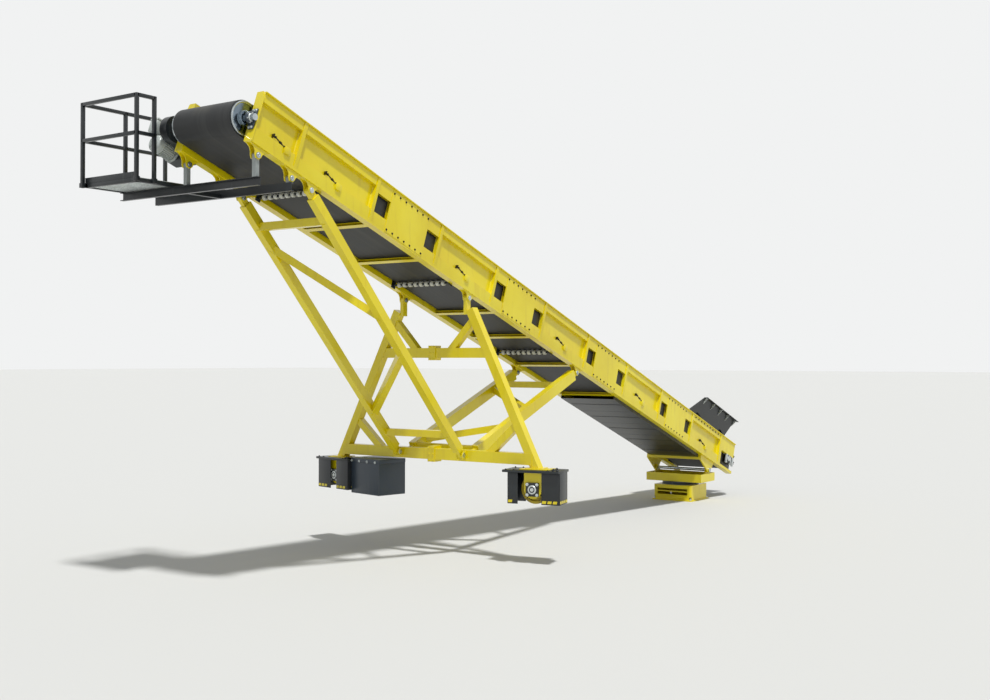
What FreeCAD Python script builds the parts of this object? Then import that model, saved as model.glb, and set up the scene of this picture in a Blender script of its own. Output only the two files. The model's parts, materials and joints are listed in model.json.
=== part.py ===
import FreeCAD, Part

import math
import os

import Sketcher
from FreeCAD import Placement, Rotation, Vector

# Radial stacker conveyor: a belt conveyor on a sloped pair of girders. Its tail is hinged on a turntable that
# turns on a fixed pedestal, and a trestle on two wheels carries its upper half round the pedestal.
#
# Main frame: origin on the slewing axis at the pedestal's underside, +X towards the discharge end, +Y towards the
# side without the drive ("near"), +Z up, millimetres.
# Conveyor frame: lengths run up the slope from above the tail hinge, heights are square to the slope from the
# girders' underside, and Y is shared with the main frame.

doc = FreeCAD.newDocument("RadialStacker")
dims = doc.addObject("Spreadsheet::Sheet", "Dims")

SIZES = (
    # name, size in millimetres or degrees, what it is
    ("slope_angle", 19.66, "rise of the conveyor above level"),
    ("hinge_offset", -70, "tail hinge pin from the slewing axis"),
    ("hinge_height", 637, "tail hinge pin above the pedestal's underside"),
    ("hinge_drop", 201, "tail hinge pin below the girders, square to the slope"),
    # girders
    ("girder_half_width", 667, "outer face of a girder from the centre plane"),
    ("girder_depth", 665, "height of a girder"),
    ("girder_flange", 120, "width of a girder's bands"),
    ("girder_bottom_band", 190, "height of the lower band"),
    ("girder_top_band", 130, "height of the upper band with its lip"),
    ("girder_plate", 12, "web, lip and front plate"),
    ("girder_web_setback", 55, "web behind the outer face"),
    ("girder_lip", 25, "lip beyond the outer face"),
    ("girder_tail", 1050, "tail end below the hinge line"),
    ("girder_head", 13980, "head end up the slope"),
    ("head_plate", 20, "end plate at the head"),
    ("bay", 1500, "rib to rib"),
    ("first_rib", -274, "lowest rib up the slope"),
    ("rib_width", 60, "stiffening rib along the girder"),
    ("rib_stand", 12, "rib beyond the outer face"),
    ("hatch_width", 290, "opening beside a rib"),
    ("hatch_height", 275, "opening's height"),
    ("hatch_sill", 180, "opening above the underside"),
    ("cover_width", 860, "bolted cover plate along the girder"),
    ("cover_height", 600, "bolted cover plate's height"),
    ("cover_sill", 25, "cover plate above the underside"),
    ("cover_plate", 6, "cover plate's thickness"),
    ("slot_floor", 55, "take-up opening above the underside"),
    ("slot_top", 350, "top of the take-up opening"),
    ("slot_start", -390, "upper end of the take-up opening"),
    # belt and pulleys
    ("belt_width", 1000, "belt across"),
    ("belt_thickness", 12, "belt"),
    ("pulley_radius", 212, "head and tail pulley"),
    ("pulley_half_face", 530, "pulley's face from the centre plane"),
    ("pulley_height", 280, "pulley axes above the underside"),
    ("head_pulley_at", 14050, "head pulley's axis up the slope"),
    ("tail_pulley_at", -800, "tail pulley's axis up the slope"),
    ("pulley_shaft_radius", 42, "pulley shaft"),
    ("belt_gap", 0.5, "belt clear of a pulley"),
    ("fit", 0.08, "running fit of a shaft or ring"),
    ("trough_level", 452, "underside of the belt's middle on the idlers"),
    ("trough_angle", 30, "wing rollers above level"),
    ("trough_half_flat", 190, "flat middle of the troughed belt"),
    ("transition", 1000, "run from flat to troughed"),
    # idlers
    ("roller_radius", 54, "idler roller"),
    ("idler_pitch", 1060, "carrying idlers"),
    ("first_idler", 300, "lowest carrying idler"),
    ("return_pitch", 3000, "return idlers"),
    ("first_return", 626, "lowest return idler"),
    ("disc_width", 42, "return disc"),
    ("disc_pitch", 95, "return discs"),
    # cross bars and pans
    ("bar_width", 80, "cross bar along the slope"),
    ("bar_height", 45, "cross bar's height"),
    ("pan_start", 490, "lowest pan"),
    ("pan_length", 765, "one pan"),
    ("pan_gap", 6, "between pans"),
    ("pan_depth", 62, "pan below the girders"),
    ("pan_half_width", 560, "pan from the centre plane"),
    ("pan_sheet", 4, "pan's sheet"),
    # girder brackets, forks and pins
    ("bracket_half_length", 177, "fork plate along the girder"),
    ("fork_plate", 12, "fork plate"),
    ("tongue", 60, "thickness of a pinned end"),
    ("fork_gap", 2, "fork plate clear of the pinned end"),
    ("pin_radius", 24, "stay pins"),
    ("pin_head_radius", 36, "pin head"),
    ("pin_head", 10, "pin head's thickness"),
    ("foot_pin_head_radius", 56, "heads of the stays' lower pins"),
    # pedestal and slewing ring
    ("pedestal_half_x", 400, "box, half along X"),
    ("pedestal_half_y", 430, "box, half along Y"),
    ("pedestal_height", 325, "box top"),
    ("pedestal_wall", 16, "box walls"),
    ("pedestal_corner", 45, "round of the box's upright edges"),
    ("base_plate", 25, "base plate's thickness"),
    ("base_edge", 32, "base plate beyond the box"),
    ("anchor_radius", 16, "anchor hole"),
    ("anchor_inset", 18, "anchor hole inside the box's face"),
    ("anchor_notch", 85, "hand space over an anchor"),
    ("ring_outer_radius", 380, "fixed race, outside"),
    ("ring_split_radius", 300, "between the races"),
    ("ring_inner_radius", 225, "turning race, inside"),
    ("ring_height", 70, "slewing ring over all"),
    ("ring_offset", 8, "turning race above the box, fixed race below the tray"),
    # turntable
    ("tray_half_length", 340, "tray, half along X"),
    ("tray_half_width", 630, "tray, half along Y"),
    ("tray_height", 170, "tray"),
    ("tray_wall", 15, "tray wall"),
    ("tray_floor", 20, "tray floor"),
    ("ear_half_length", 150, "ear along X at the tray"),
    ("ear_plate", 30, "ear and lug plates"),
    ("ear_radius", 68, "top of an ear"),
    ("ear_face", 590, "outer face of an ear"),
    ("lug_clearance", 5, "lug from ear and shaft collar"),
    ("lug_radius", 60, "end of a lug"),
    ("lug_root", 480, "lugs' upper end up the slope"),
    ("lug_nose", 110, "plate between the lugs, below the girders"),
    ("hinge_radius", 30, "tail hinge shaft"),
    ("collar_radius", 46, "collar of the hinge shaft"),
    ("collar_width", 18, "collar of the hinge shaft"),
    # trestle
    ("trestle_x", 8592, "trestle plane from the slewing axis"),
    ("leg_section", 130, "leg"),
    ("leg_foot_y", 1845, "leg's foot from the centre plane"),
    ("mid_beam_height", 3046, "middle beam's axis"),
    ("mid_beam_depth", 150, "middle beam"),
    ("mid_beam_width", 120, "middle beam along X"),
    ("low_beam_gap", 35, "lower beam's underside above the leg's foot"),
    ("low_beam_depth", 165, "lower beam"),
    ("low_beam_width", 150, "lower beam along X"),
    ("splice_length", 130, "splice collar along a beam"),
    ("splice_stand", 36, "splice collar beyond the beam, up and down"),
    ("splice_plate", 14, "splice collar beyond the beam, fore and aft"),
    ("knee_section", 105, "knee brace"),
    ("knee_beam_y", 290, "upper knee on the middle beam"),
    ("knee_leg_height", 3553, "upper knee on the leg"),
    ("low_knee_beam_y", 980, "lower knee on the lower beam"),
    ("low_knee_leg_height", 2010, "lower knee on the leg"),
    # stays
    ("leg_pin_at", 9242, "leg pin up the slope"),
    ("leg_pin_drop", 75, "leg pin below the girders"),
    ("front_pin_at", 12850, "front stay's pin up the slope"),
    ("back_pin_at", 5876, "back stay's pin up the slope"),
    ("stay_pin_drop", 85, "stay pins below the girders"),
    ("stay_foot_reach", 64, "stay's lower pin from the beam's face"),
    ("stay_foot_rise", 12, "stay's lower pin above the beam's axis"),
    ("front_stay_depth", 125, "front stay"),
    ("front_stay_width", 115, "front stay across"),
    ("back_stay_depth", 180, "back stay"),
    ("back_stay_width", 115, "back stay across"),
    ("stay_end", 105, "bare tongue at a stay's end"),
    ("tongue_depth", 96, "tongue's height"),
    ("tie_section", 105, "cross members and diagonals of the stays"),
    # bogies
    ("track_level", 880, "ring track above the pedestal's underside"),
    ("wheel_radius", 215, "wheel"),
    ("wheel_width", 110, "wheel's tread"),
    ("axle_radius", 35, "wheel axle"),
    ("bearing_plate_at", 138, "bearing plate's inner face from the wheel's middle"),
    ("bearing_plate", 16, "bearing plate"),
    ("bearing_plate_width", 267, "bearing plate"),
    ("bearing_side", 150, "flange bearing, square"),
    ("bearing_depth", 34, "flange bearing"),
    ("guard_half_length", 405, "wheel guard along the track"),
    ("guard_offset", 48, "guard's middle from the wheel, along the track"),
    ("guard_half_width", 170, "wheel guard across the track"),
    ("guard_sheet", 8, "wheel guard's sheet"),
    ("guard_bottom", 885, "wheel guard's lower edge"),
    ("guard_window", 390, "window in the faces along the track"),
    ("bogie_plate_under", 1335, "bogie plate's underside"),
    ("bogie_plate", 35, "bogie plate's thickness"),
    ("bogie_plate_half_length", 482, "bogie plate along the track"),
    ("bogie_plate_half_width", 225, "bogie plate across the track"),
    ("foot_plate", 25, "leg's foot plate"),
    ("foot_half_width", 130, "leg's foot plate"),
    ("drive_box_length", 690, "travel drive box along the track"),
    ("drive_box_width", 512, "travel drive box across the track"),
    ("drive_box_bottom", 847, "travel drive box's underside"),
    ("drive_box_outer", 150, "drive box's outer face from the wheel's middle"),
    ("drive_lid_edge", 22, "drive box lid beyond the box"),
    ("drive_lid", 32, "drive box lid"),
    # head bearings and belt drive
    ("head_block_width", 60, "head bearing across"),
    ("head_block_height", 190, "head bearing's height"),
    ("head_block_reach", 85, "head bearing beyond the shaft's axis"),
    ("gear_face", 692, "gear case's inner face from the centre plane"),
    ("gear_width", 120, "gear case across"),
    ("gear_radius", 172, "gear case round the pulley shaft"),
    ("motor_drop", 164, "motor axis below the pulley shaft"),
    ("motor_offset", 1000, "motor axis from the centre plane"),
    ("motor_back", 270, "motor's mounting face before the pulley shaft"),
    ("bevel_length", 180, "bevel case along the girder"),
    ("bevel_half", 95, "bevel case, half its height"),
    ("motor_flange", 24, "motor's flange"),
    ("motor_radius", 104, "motor's case"),
    ("motor_length", 300, "motor's case"),
    ("terminal_length", 130, "terminal box along the motor"),
    ("terminal_width", 150, "terminal box across the motor"),
    ("terminal_height", 200, "terminal box above the motor's case"),
    ("fan_radius", 116, "fan cowl"),
    ("fan_length", 115, "fan cowl"),
    # tail take-up
    ("takeup_block", 150, "sliding bearing along the girder"),
    ("takeup_height", 200, "sliding bearing"),
    ("takeup_width", 64, "sliding bearing across"),
    ("screw_radius", 16, "take-up screw"),
    # feed hopper
    ("hopper_tail", -780, "hopper's tail end at its foot"),
    ("hopper_head", 1050, "hopper's head end at its foot"),
    ("hopper_nose", 800, "height where the head edge starts to lean"),
    ("hopper_foot", 604, "hopper's lower edge"),
    ("hopper_rim", 1190, "hopper's rim"),
    ("hopper_foot_y", 400, "hopper's lower edge from the centre plane"),
    ("hopper_rim_y", 590, "hopper's rim from the centre plane"),
    ("hopper_sheet", 10, "hopper's sheet"),
    ("hopper_flange", 75, "rim flange"),
    ("hopper_back_lean", 215, "tail sheet's lean"),
    ("hopper_front_lean", 400, "head edge's lean"),
    # platform
    ("hanger_section", 60, "hanger post"),
    ("front_hanger_at", 13815, "front hanger pin up the slope"),
    ("rear_hanger_at", 13215, "rear hanger pin up the slope"),
    ("hanger_pin_drop", 100, "hanger pins below the girders"),
    ("platform_beam_top", 5125, "platform beams' top"),
    ("platform_beam_depth", 105, "platform beams"),
    ("platform_beam_flange", 55, "platform beams"),
    ("platform_beam_plate", 9, "platform beams"),
    ("front_beam_short", 70, "front beam short of the platform's outer edge"),
    ("rear_beam_short", 80, "rear beam short of the platform's outer edge"),
    ("platform_tie_y", 615, "tie between the platform beams from the centre plane"),
    ("platform_tie", 50, "tie between the platform beams"),
    ("platform_far", 1945, "platform's outer edge from the centre plane"),
    ("platform_inner", 835, "platform's inner edge"),
    ("platform_head", 13450, "platform's head edge"),
    ("platform_tail", 12202, "platform's tail edge"),
    ("deck_frame", 50, "deck frame"),
    ("deck_plate", 6, "deck plate"),
    ("toe_board", 120, "toe board"),
    ("toe_sheet", 5, "toe board"),
    ("rail_section", 44, "square handrail tube"),
    ("rail_height", 1084, "top rail above the platform beams"),
    ("mid_rail_height", 620, "middle rail above the platform beams"),
    ("rail_return", 267, "short rail along the inner edge at the head"),
    ("leg_head", 190, "bare tongue at the leg's head"),
    ("leg_eye", 48, "eye at the leg's head"),
)

CARRY_IDLERS = 13
RETURN_IDLERS = 5
RETURN_DISCS = 9
PANS = 5
RIBS = 10
COVERS = 4
HOPPER_GUSSETS = 5

for row, (name, amount, meaning) in enumerate(SIZES, start=1):
    dims.set("A%d" % row, name)
    dims.set("B%d" % row, str(amount))
    dims.set("C%d" % row, meaning)
    dims.setAlias("B%d" % row, name)
doc.recompute()


class Size:
    """A size with its formula for the document and its value for this code."""

    def __init__(self, text, value):
        self.text = text
        self.value = value

    def __float__(self):
        return self.value

    def join(self, sign, other, value):
        return Size("(%s %s %s)" % (self.text, sign, size(other).text), value)

    def __add__(self, other):
        return self.join("+", other, self.value + float(other))

    def __radd__(self, other):
        return size(other) + self

    def __sub__(self, other):
        return self.join("-", other, self.value - float(other))

    def __rsub__(self, other):
        return size(other) - self

    def __mul__(self, other):
        return self.join("*", other, self.value * float(other))

    def __rmul__(self, other):
        return size(other) * self

    def __truediv__(self, other):
        return self.join("/", other, self.value / float(other))

    def __neg__(self):
        return Size("(0 - %s)" % self.text, -self.value)


def size(amount):
    """The amount as a Size."""
    return amount if isinstance(amount, Size) else Size("%.6f" % amount, float(amount))


def sine(angle):
    return Size("sin(%s)" % angle.text, math.sin(math.radians(angle.value)))


def cosine(angle):
    return Size("cos(%s)" % angle.text, math.cos(math.radians(angle.value)))


def arctangent(ratio):
    return Size("atan(%s)" % ratio.text, math.degrees(math.atan(ratio.value)))


class Sheet:
    """The sheet's sizes by name."""


for name, amount, meaning in SIZES:
    setattr(Sheet, name, Size("Dims." + name, float(dims.get(name))))
D = Sheet

NORMALS = {"XY": Vector(0, 0, 1), "XZ": Vector(0, 1, 0), "YZ": Vector(1, 0, 0)}
TURNS = {
    "XY": Rotation(),
    "XZ": Rotation(Vector(1, 0, 0), 90),
    "YZ": Rotation(Vector(1, 1, 1), 120),
}
AXIS_TURNS = {
    "X": Rotation(Vector(0, 1, 0), 90),
    "Y": Rotation(Vector(1, 0, 0), -90),
    "Z": Rotation(),
}
nodes = {}


def bind(thing, path, amount):
    """Ties a property to a formula of the sheet."""
    thing.setExpression(path, size(amount).text)


def move(thing, x, y, z, turn=Rotation()):
    """Puts a thing at a place whose three parts are formulas."""
    thing.Placement = Placement(Vector(float(x), float(y), float(z)), turn)
    for letter, amount in zip("xyz", (x, y, z)):
        bind(thing, "Placement.Base." + letter, amount)


def box(name, x, y, z):
    """A block between pairs of faces."""
    solid = doc.addObject("Part::Box", name)
    for path, (low, high) in zip(("Length", "Width", "Height"), (x, y, z)):
        bind(solid, path, size(high) - low)
    move(solid, x[0], y[0], z[0])
    return solid


def rod(name, axis, radius, low, high, across):
    """A cylinder along X, Y or Z from low to high; across gives its other two coordinates in order."""
    solid = doc.addObject("Part::Cylinder", name)
    bind(solid, "Radius", radius)
    bind(solid, "Height", size(high) - low)
    place = list(across)
    place.insert("XYZ".index(axis), low)
    move(solid, *place, turn=AXIS_TURNS[axis])
    return solid


def draw(sketch, loops, circles=()):
    """Closed outlines of straight lines and whole circles, each point held by two formulas."""
    for corners in loops:
        first = sketch.GeometryCount
        points = [Vector(float(a), float(b), 0) for a, b in corners]
        for here, there in zip(points, points[1:] + points[:1]):
            sketch.addGeometry(Part.LineSegment(here, there))
        for index, (a, b) in enumerate(corners):
            line = first + index
            following = first + (index + 1) % len(corners)
            sketch.addConstraint(Sketcher.Constraint("Coincident", line, 2, following, 1))
            hold(sketch, "DistanceX", line, 1, a)
            hold(sketch, "DistanceY", line, 1, b)
    for a, b, radius in circles:
        middle = Vector(float(a), float(b), 0)
        ring = sketch.addGeometry(Part.Circle(middle, Vector(0, 0, 1), float(radius)))
        hold(sketch, "DistanceX", ring, 3, a)
        hold(sketch, "DistanceY", ring, 3, b)
        number = sketch.addConstraint(Sketcher.Constraint("Radius", ring, float(radius)))
        bind(sketch, "Constraints[%d]" % number, radius)


def hold(sketch, kind, geometry, point, amount):
    """Holds one coordinate of a point from the sketch's origin."""
    rule = Sketcher.Constraint(kind, -1, 1, geometry, point, float(amount))
    bind(sketch, "Constraints[%d]" % sketch.addConstraint(rule), amount)


def outline(name, plane, corners, at=0, circles=()):
    """A sketch standing by itself, parallel to a main plane."""
    sketch = doc.addObject("Sketcher::SketchObject", name)
    place = [n * size(at) if n else 0 for n in NORMALS[plane]]
    move(sketch, *place, turn=TURNS[plane])
    draw(sketch, [corners], circles)
    return sketch


def slab(name, plane, corners, low, high, circles=()):
    """A plate or prism of a given outline, from low to high along the third axis."""
    solid = doc.addObject("Part::Extrusion", name)
    solid.Base = outline(name + "_outline", plane, corners, low, circles)
    solid.DirMode = "Custom"
    solid.Dir = NORMALS[plane]
    solid.Solid = True
    bind(solid, "LengthFwd", size(high) - low)
    return solid


def group(name, parts):
    """Separate solids kept together."""
    held = doc.addObject("Part::Compound", name)
    held.Links = parts
    return held


def fuse(name, parts):
    """Parts welded into one."""
    welded = doc.addObject("Part::MultiFuse", name)
    welded.Shapes = parts
    welded.Refine = True
    return welded


def cut(name, base, *tools):
    """The base less each tool in turn."""
    for count, tool in enumerate(tools):
        less = doc.addObject("Part::Cut", name if count == len(tools) - 1 else name + "_step")
        less.Base = base
        less.Tool = tool
        base = less
    return base


def mirror(name, source):
    """The same thing on the other side of the centre plane."""
    other = doc.addObject("Part::Mirroring", name)
    other.Source = source
    other.Normal = Vector(0, 1, 0)
    other.Base = Vector(0, 0, 0)
    return other


def both(name, source):
    """A thing and its mirror image, as one group."""
    return group(name, [source, mirror(name + "_far", source)])


SLOPE_SINE = sine(D.slope_angle)
SLOPE_COSINE = cosine(D.slope_angle)


def tilt(thing):
    """Puts a thing drawn in the conveyor frame onto the slope."""
    turn = Rotation(Vector(0, -1, 0), D.slope_angle.value)
    x, z = from_slope(0, 0)
    move(thing, x, 0, z, turn)
    bind(thing, "Placement.Rotation.Angle", D.slope_angle)
    return thing


def from_slope(length, height):
    """X and Z in the main frame of a point in the conveyor frame."""
    height = size(height) + D.hinge_drop
    x = D.hinge_offset + size(length) * SLOPE_COSINE - height * SLOPE_SINE
    z = D.hinge_height + size(length) * SLOPE_SINE + height * SLOPE_COSINE
    return x, z


def node(name, thing):
    """Names a finished sub-part."""
    thing.Label = name
    nodes[name] = thing
    return thing


def strut(name, start, end, width, depth):
    """A box section centred on the line from start to end, its depth in the upright plane."""
    start = Vector(*(float(c) for c in start))
    end = Vector(*(float(c) for c in end))
    along = (end - start).normalize()
    across = Vector(0, 0, 1).cross(along)
    across = across.normalize() if across.Length > 1e-6 else Vector(0, 1, 0)
    upright = along.cross(across)
    solid = doc.addObject("Part::Box", name)
    solid.Length = (end - start).Length
    bind(solid, "Width", width)
    bind(solid, "Height", depth)
    corner = start - across * (float(width) / 2) - upright * (float(depth) / 2)
    solid.Placement = Placement(corner, Rotation(along, across, upright, "XYZ"))
    return solid


def body(name):
    return doc.addObject("PartDesign::Body", name)


def origin_part(owner, role):
    """A plane or axis of a body's own origin."""
    return next(f for f in owner.Origin.OriginFeatures if f.Role == role)


def sketch_in(owner, name, role, loops, circles=(), offset=0):
    """A sketch on one of the body's main planes, moved along the plane's normal."""
    sketch = owner.newObject("Sketcher::SketchObject", name)
    sketch.AttachmentSupport = (origin_part(owner, role), [""])
    sketch.MapMode = "FlatFace"
    bind(sketch, "AttachmentOffset.Base.z", offset)
    draw(sketch, loops, circles)
    return sketch


def feature(owner, kind, name, sketch, amount=None, backwards=False, middle=False):
    """A pad or pocket of a sketch; with no amount a pocket goes through everything both ways."""
    made = owner.newObject("PartDesign::" + kind, name)
    made.Profile = sketch
    made.Reversed = backwards
    if amount is None:
        made.Type = "ThroughAll"
        made.Midplane = True
    else:
        bind(made, "Length", amount)
        made.Midplane = middle
    return made


def turned(owner, name, sketch, axis="V_Axis"):
    """A full revolution of a sketch about one of its own axes."""
    made = owner.newObject("PartDesign::Revolution", name)
    made.Profile = sketch
    made.ReferenceAxis = (sketch, [axis])
    made.Angle = 360
    return made


def row(owner, name, features, length, count):
    """Features repeated along X over a length."""
    made = owner.newObject("PartDesign::LinearPattern", name)
    made.Originals = features
    made.Direction = (origin_part(owner, "X_Axis"), [""])
    bind(made, "Length", length)
    made.Occurrences = count
    owner.Tip = made
    return made


def rectangle(x0, x1, y0, y1):
    return [(x0, y0), (x1, y0), (x1, y1), (x0, y1)]


# Pedestal

px, py = D.pedestal_half_x, D.pedestal_half_y
pedestal = body("PedestalBox")
plate_edge = rectangle(-px - D.base_edge, px + D.base_edge, -py - D.base_edge, py + D.base_edge)
base_sketch = sketch_in(pedestal, "BaseOutline", "XY_Plane", [plate_edge])
feature(pedestal, "Pad", "BasePlate", base_sketch, D.base_plate)
wall_sketch = sketch_in(pedestal, "BoxOutline", "XY_Plane", [rectangle(-px, px, -py, py)])
box_pad = feature(pedestal, "Pad", "BoxWalls", wall_sketch, D.pedestal_height)
doc.recompute()
upright_edges = [
    "Edge%d" % number
    for number, edge in enumerate(box_pad.Shape.Edges, start=1)
    if abs(edge.tangentAt(edge.FirstParameter).z) > 0.99
]
corners = pedestal.newObject("PartDesign::Fillet", "RoundCorners")
corners.Base = (box_pad, upright_edges)
bind(corners, "Radius", D.pedestal_corner)
ix, iy = px - D.pedestal_wall, py - D.pedestal_wall
hollow_sketch = sketch_in(pedestal, "HollowOutline", "XY_Plane", [rectangle(-ix, ix, -iy, iy)], offset=D.base_plate)
hollow_depth = D.pedestal_height - D.pedestal_wall - D.base_plate
feature(pedestal, "Pocket", "Hollow", hollow_sketch, hollow_depth, backwards=True)
SLOTS = (
    # bottom and top of a slot as parts of the box's height
    (0.38, 0.56),
    (0.63, 0.77),
)
slot_loops = [
    rectangle(-py * 0.80, py * 0.80, D.pedestal_height * low, D.pedestal_height * high) for low, high in SLOTS
]
slot_sketch = sketch_in(pedestal, "SlotOutlines", "YZ_Plane", slot_loops, offset=px - D.pedestal_wall * 2)
feature(pedestal, "Pocket", "FrontSlots", slot_sketch, D.pedestal_wall * 3, backwards=True)
hx, hy = px - D.anchor_inset, py - D.anchor_inset
notch = D.anchor_notch
notch_loops = [
    rectangle(sx * px - notch / 2, sx * px + notch / 2, sy * py - notch / 2, sy * py + notch / 2)
    for sx in (-1, 1)
    for sy in (-1, 1)
]
notch_sketch = sketch_in(pedestal, "NotchOutlines", "XY_Plane", notch_loops, offset=D.base_plate)
feature(pedestal, "Pocket", "AnchorNotches", notch_sketch, notch * 0.7, backwards=True)
holes = [(sx * hx, sy * hy, D.anchor_radius) for sx in (-1, 1) for sy in (-1, 1)]
hole_sketch = sketch_in(pedestal, "AnchorHoles", "XY_Plane", [], holes)
feature(pedestal, "Pocket", "Anchors", hole_sketch, D.base_plate, backwards=True)
node("pedestal_box", pedestal)

ring_bottom = D.pedestal_height
ring_top = D.pedestal_height + D.ring_height


def ring(name, inside, outside, low, high):
    """A race of the slewing ring with a stepped outer edge."""
    owner = body(name)
    step = (high - low) / 3
    loop = [
        (inside, low),
        (outside, low),
        (outside, low + step),
        (outside - step / 2, low + step * 1.5),
        (outside, low + step * 2),
        (outside, high),
        (inside, high),
    ]
    turned(owner, name + "Turned", sketch_in(owner, name + "Section", "XZ_Plane", [loop]))
    return owner


node(
    "slew_ring_fixed",
    ring("FixedRace", D.ring_split_radius, D.ring_outer_radius, ring_bottom, ring_top - D.ring_offset),
)
node(
    "slew_ring_turning",
    ring(
        "TurningRace",
        D.ring_inner_radius,
        D.ring_split_radius - D.fit,
        ring_bottom + D.ring_offset,
        ring_top,
    ),
)

# Turntable

tray = body("Tray")
tray_top = ring_top + D.tray_height
tray_loop = rectangle(-D.tray_half_length, D.tray_half_length, -D.tray_half_width, D.tray_half_width)
tray_sketch = sketch_in(tray, "TrayOutline", "XY_Plane", [tray_loop], offset=ring_top)
feature(tray, "Pad", "TrayBlock", tray_sketch, D.tray_height)
inner_loop = rectangle(
    -D.tray_half_length + D.tray_wall,
    D.tray_half_length - D.tray_wall,
    -D.tray_half_width + D.tray_wall,
    D.tray_half_width - D.tray_wall,
)
inner_sketch = sketch_in(tray, "TrayInside", "XY_Plane", [inner_loop], offset=ring_top + D.tray_floor)
feature(tray, "Pocket", "TrayHollow", inner_sketch, D.tray_height, backwards=True)
centre_sketch = sketch_in(
    tray, "RingOpening", "XY_Plane", [], [(0, 0, D.ring_inner_radius)], offset=ring_top
)
feature(tray, "Pocket", "RingHole", centre_sketch, D.tray_floor * 2, backwards=True)
node("turntable_tray", tray)

ear = body("Ear")
ear_base = ring_top + D.tray_floor
ear_x = D.hinge_offset
ear_loop = [
    (ear_x - D.ear_half_length, ear_base),
    (ear_x + D.ear_half_length, ear_base),
    (ear_x + D.ear_half_length, ear_base + D.tray_height * 0.5),
    (ear_x + D.ear_radius, D.hinge_height + D.ear_radius * 0.4),
    (ear_x + D.ear_radius * 0.4, D.hinge_height + D.ear_radius),
    (ear_x - D.ear_radius * 0.4, D.hinge_height + D.ear_radius),
    (ear_x - D.ear_radius, D.hinge_height + D.ear_radius * 0.4),
    (ear_x - D.ear_half_length, ear_base + D.tray_height * 0.5),
]
ear_bore = [(ear_x, D.hinge_height, D.hinge_radius)]
ear_sketch = sketch_in(ear, "EarOutline", "XZ_Plane", [ear_loop], ear_bore, offset=-D.ear_face)
feature(ear, "Pad", "EarPlate", ear_sketch, D.ear_plate)
node("turntable_ears", both("Ears", ear))

lug_inner = D.ear_face + D.lug_clearance
lug_outer = lug_inner + D.ear_plate
collar_inner = lug_outer + D.lug_clearance
pin_at = (D.hinge_offset, D.hinge_height)
shaft = rod("HingeBar", "Y", D.hinge_radius, -collar_inner, collar_inner, pin_at)
collar = rod("HingeCollar", "Y", D.collar_radius, collar_inner, collar_inner + D.collar_width, pin_at)
node("hinge_shaft", fuse("HingeShaft", [shaft, collar, mirror("HingeCollarFar", collar)]))

# Girders

go = D.girder_half_width
gi = go - D.girder_flange
web_out = go - D.girder_web_setback
web_in = web_out - D.girder_plate
low_band = D.girder_bottom_band
high_band = D.girder_depth - D.girder_top_band
lip_low = D.girder_depth - D.girder_plate
run = D.girder_head + D.girder_tail
girder_middle = go - D.girder_flange / 2

girder = body("Girder")
section = [
    (gi, 0),
    (go, 0),
    (go, low_band),
    (web_out, low_band),
    (web_out, high_band),
    (go, high_band),
    (go, lip_low),
    (go + D.girder_lip, lip_low),
    (go + D.girder_lip, D.girder_depth),
    (gi, D.girder_depth),
    (gi, high_band),
    (web_in, high_band),
    (web_in, low_band),
    (gi, low_band),
]
section_sketch = sketch_in(girder, "GirderSection", "YZ_Plane", [section], offset=-D.girder_tail)
feature(girder, "Pad", "GirderRun", section_sketch, run)
rib_loop = [
    (web_in, low_band * 0.3),
    (go, low_band * 0.15),
    (go + D.rib_stand, low_band * 0.4),
    (go + D.rib_stand, lip_low),
    (web_in, lip_low),
]
rib_sketch = sketch_in(girder, "RibSection", "YZ_Plane", [rib_loop], offset=D.first_rib)
rib = feature(girder, "Pad", "Rib", rib_sketch, D.rib_width, middle=True)
row(girder, "RibRow", [rib], D.bay * (RIBS - 1), RIBS)
front_low = D.first_rib + D.bay
front_loop = rectangle(front_low, front_low + D.bay, low_band * 0.9, lip_low)
hatch_top = D.hatch_sill + D.hatch_height
edge = D.rib_width / 2
hatches = [
    rectangle(front_low + edge, front_low + edge + D.hatch_width, D.hatch_sill, hatch_top),
    rectangle(front_low + D.bay - edge - D.hatch_width, front_low + D.bay - edge, D.hatch_sill, hatch_top),
]
front_sketch = sketch_in(girder, "FrontPlateOutline", "XZ_Plane", [front_loop], offset=-go)
front = feature(girder, "Pad", "FrontPlate", front_sketch, D.girder_plate)
hatch_sketch = sketch_in(girder, "HatchOutlines", "XZ_Plane", hatches, offset=-go)
hatch = feature(girder, "Pocket", "Hatches", hatch_sketch, D.girder_plate, backwards=True)
row(girder, "FrontPlateRow", [front, hatch], D.bay * 2 * (COVERS - 1), COVERS)
tail_loop = rectangle(-D.girder_tail, D.first_rib, 0, D.girder_depth)
tail_sketch = sketch_in(girder, "TailPlateOutline", "XZ_Plane", [tail_loop], offset=-go)
feature(girder, "Pad", "TailPlate", tail_sketch, D.girder_plate)
takeup_loop = rectangle(-D.girder_tail - 1, D.slot_start, D.slot_floor, D.slot_top)
takeup_sketch = sketch_in(girder, "TakeupOutline", "XZ_Plane", [takeup_loop])
feature(girder, "Pocket", "TakeupSlot", takeup_sketch)
chamfer = D.girder_top_band * 0.6
head_loop = [
    (gi, 0),
    (go + D.rib_stand, 0),
    (go + D.rib_stand, D.girder_depth - chamfer),
    (go + D.rib_stand - chamfer / 3, D.girder_depth),
    (gi, D.girder_depth),
]
head_sketch = sketch_in(girder, "HeadPlateOutline", "YZ_Plane", [head_loop], offset=D.girder_head)
feature(girder, "Pad", "HeadPlate", head_sketch, D.head_plate)
tilt(girder)
node("girder_near", girder)
node("girder_far", mirror("GirderFar", girder))

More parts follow.
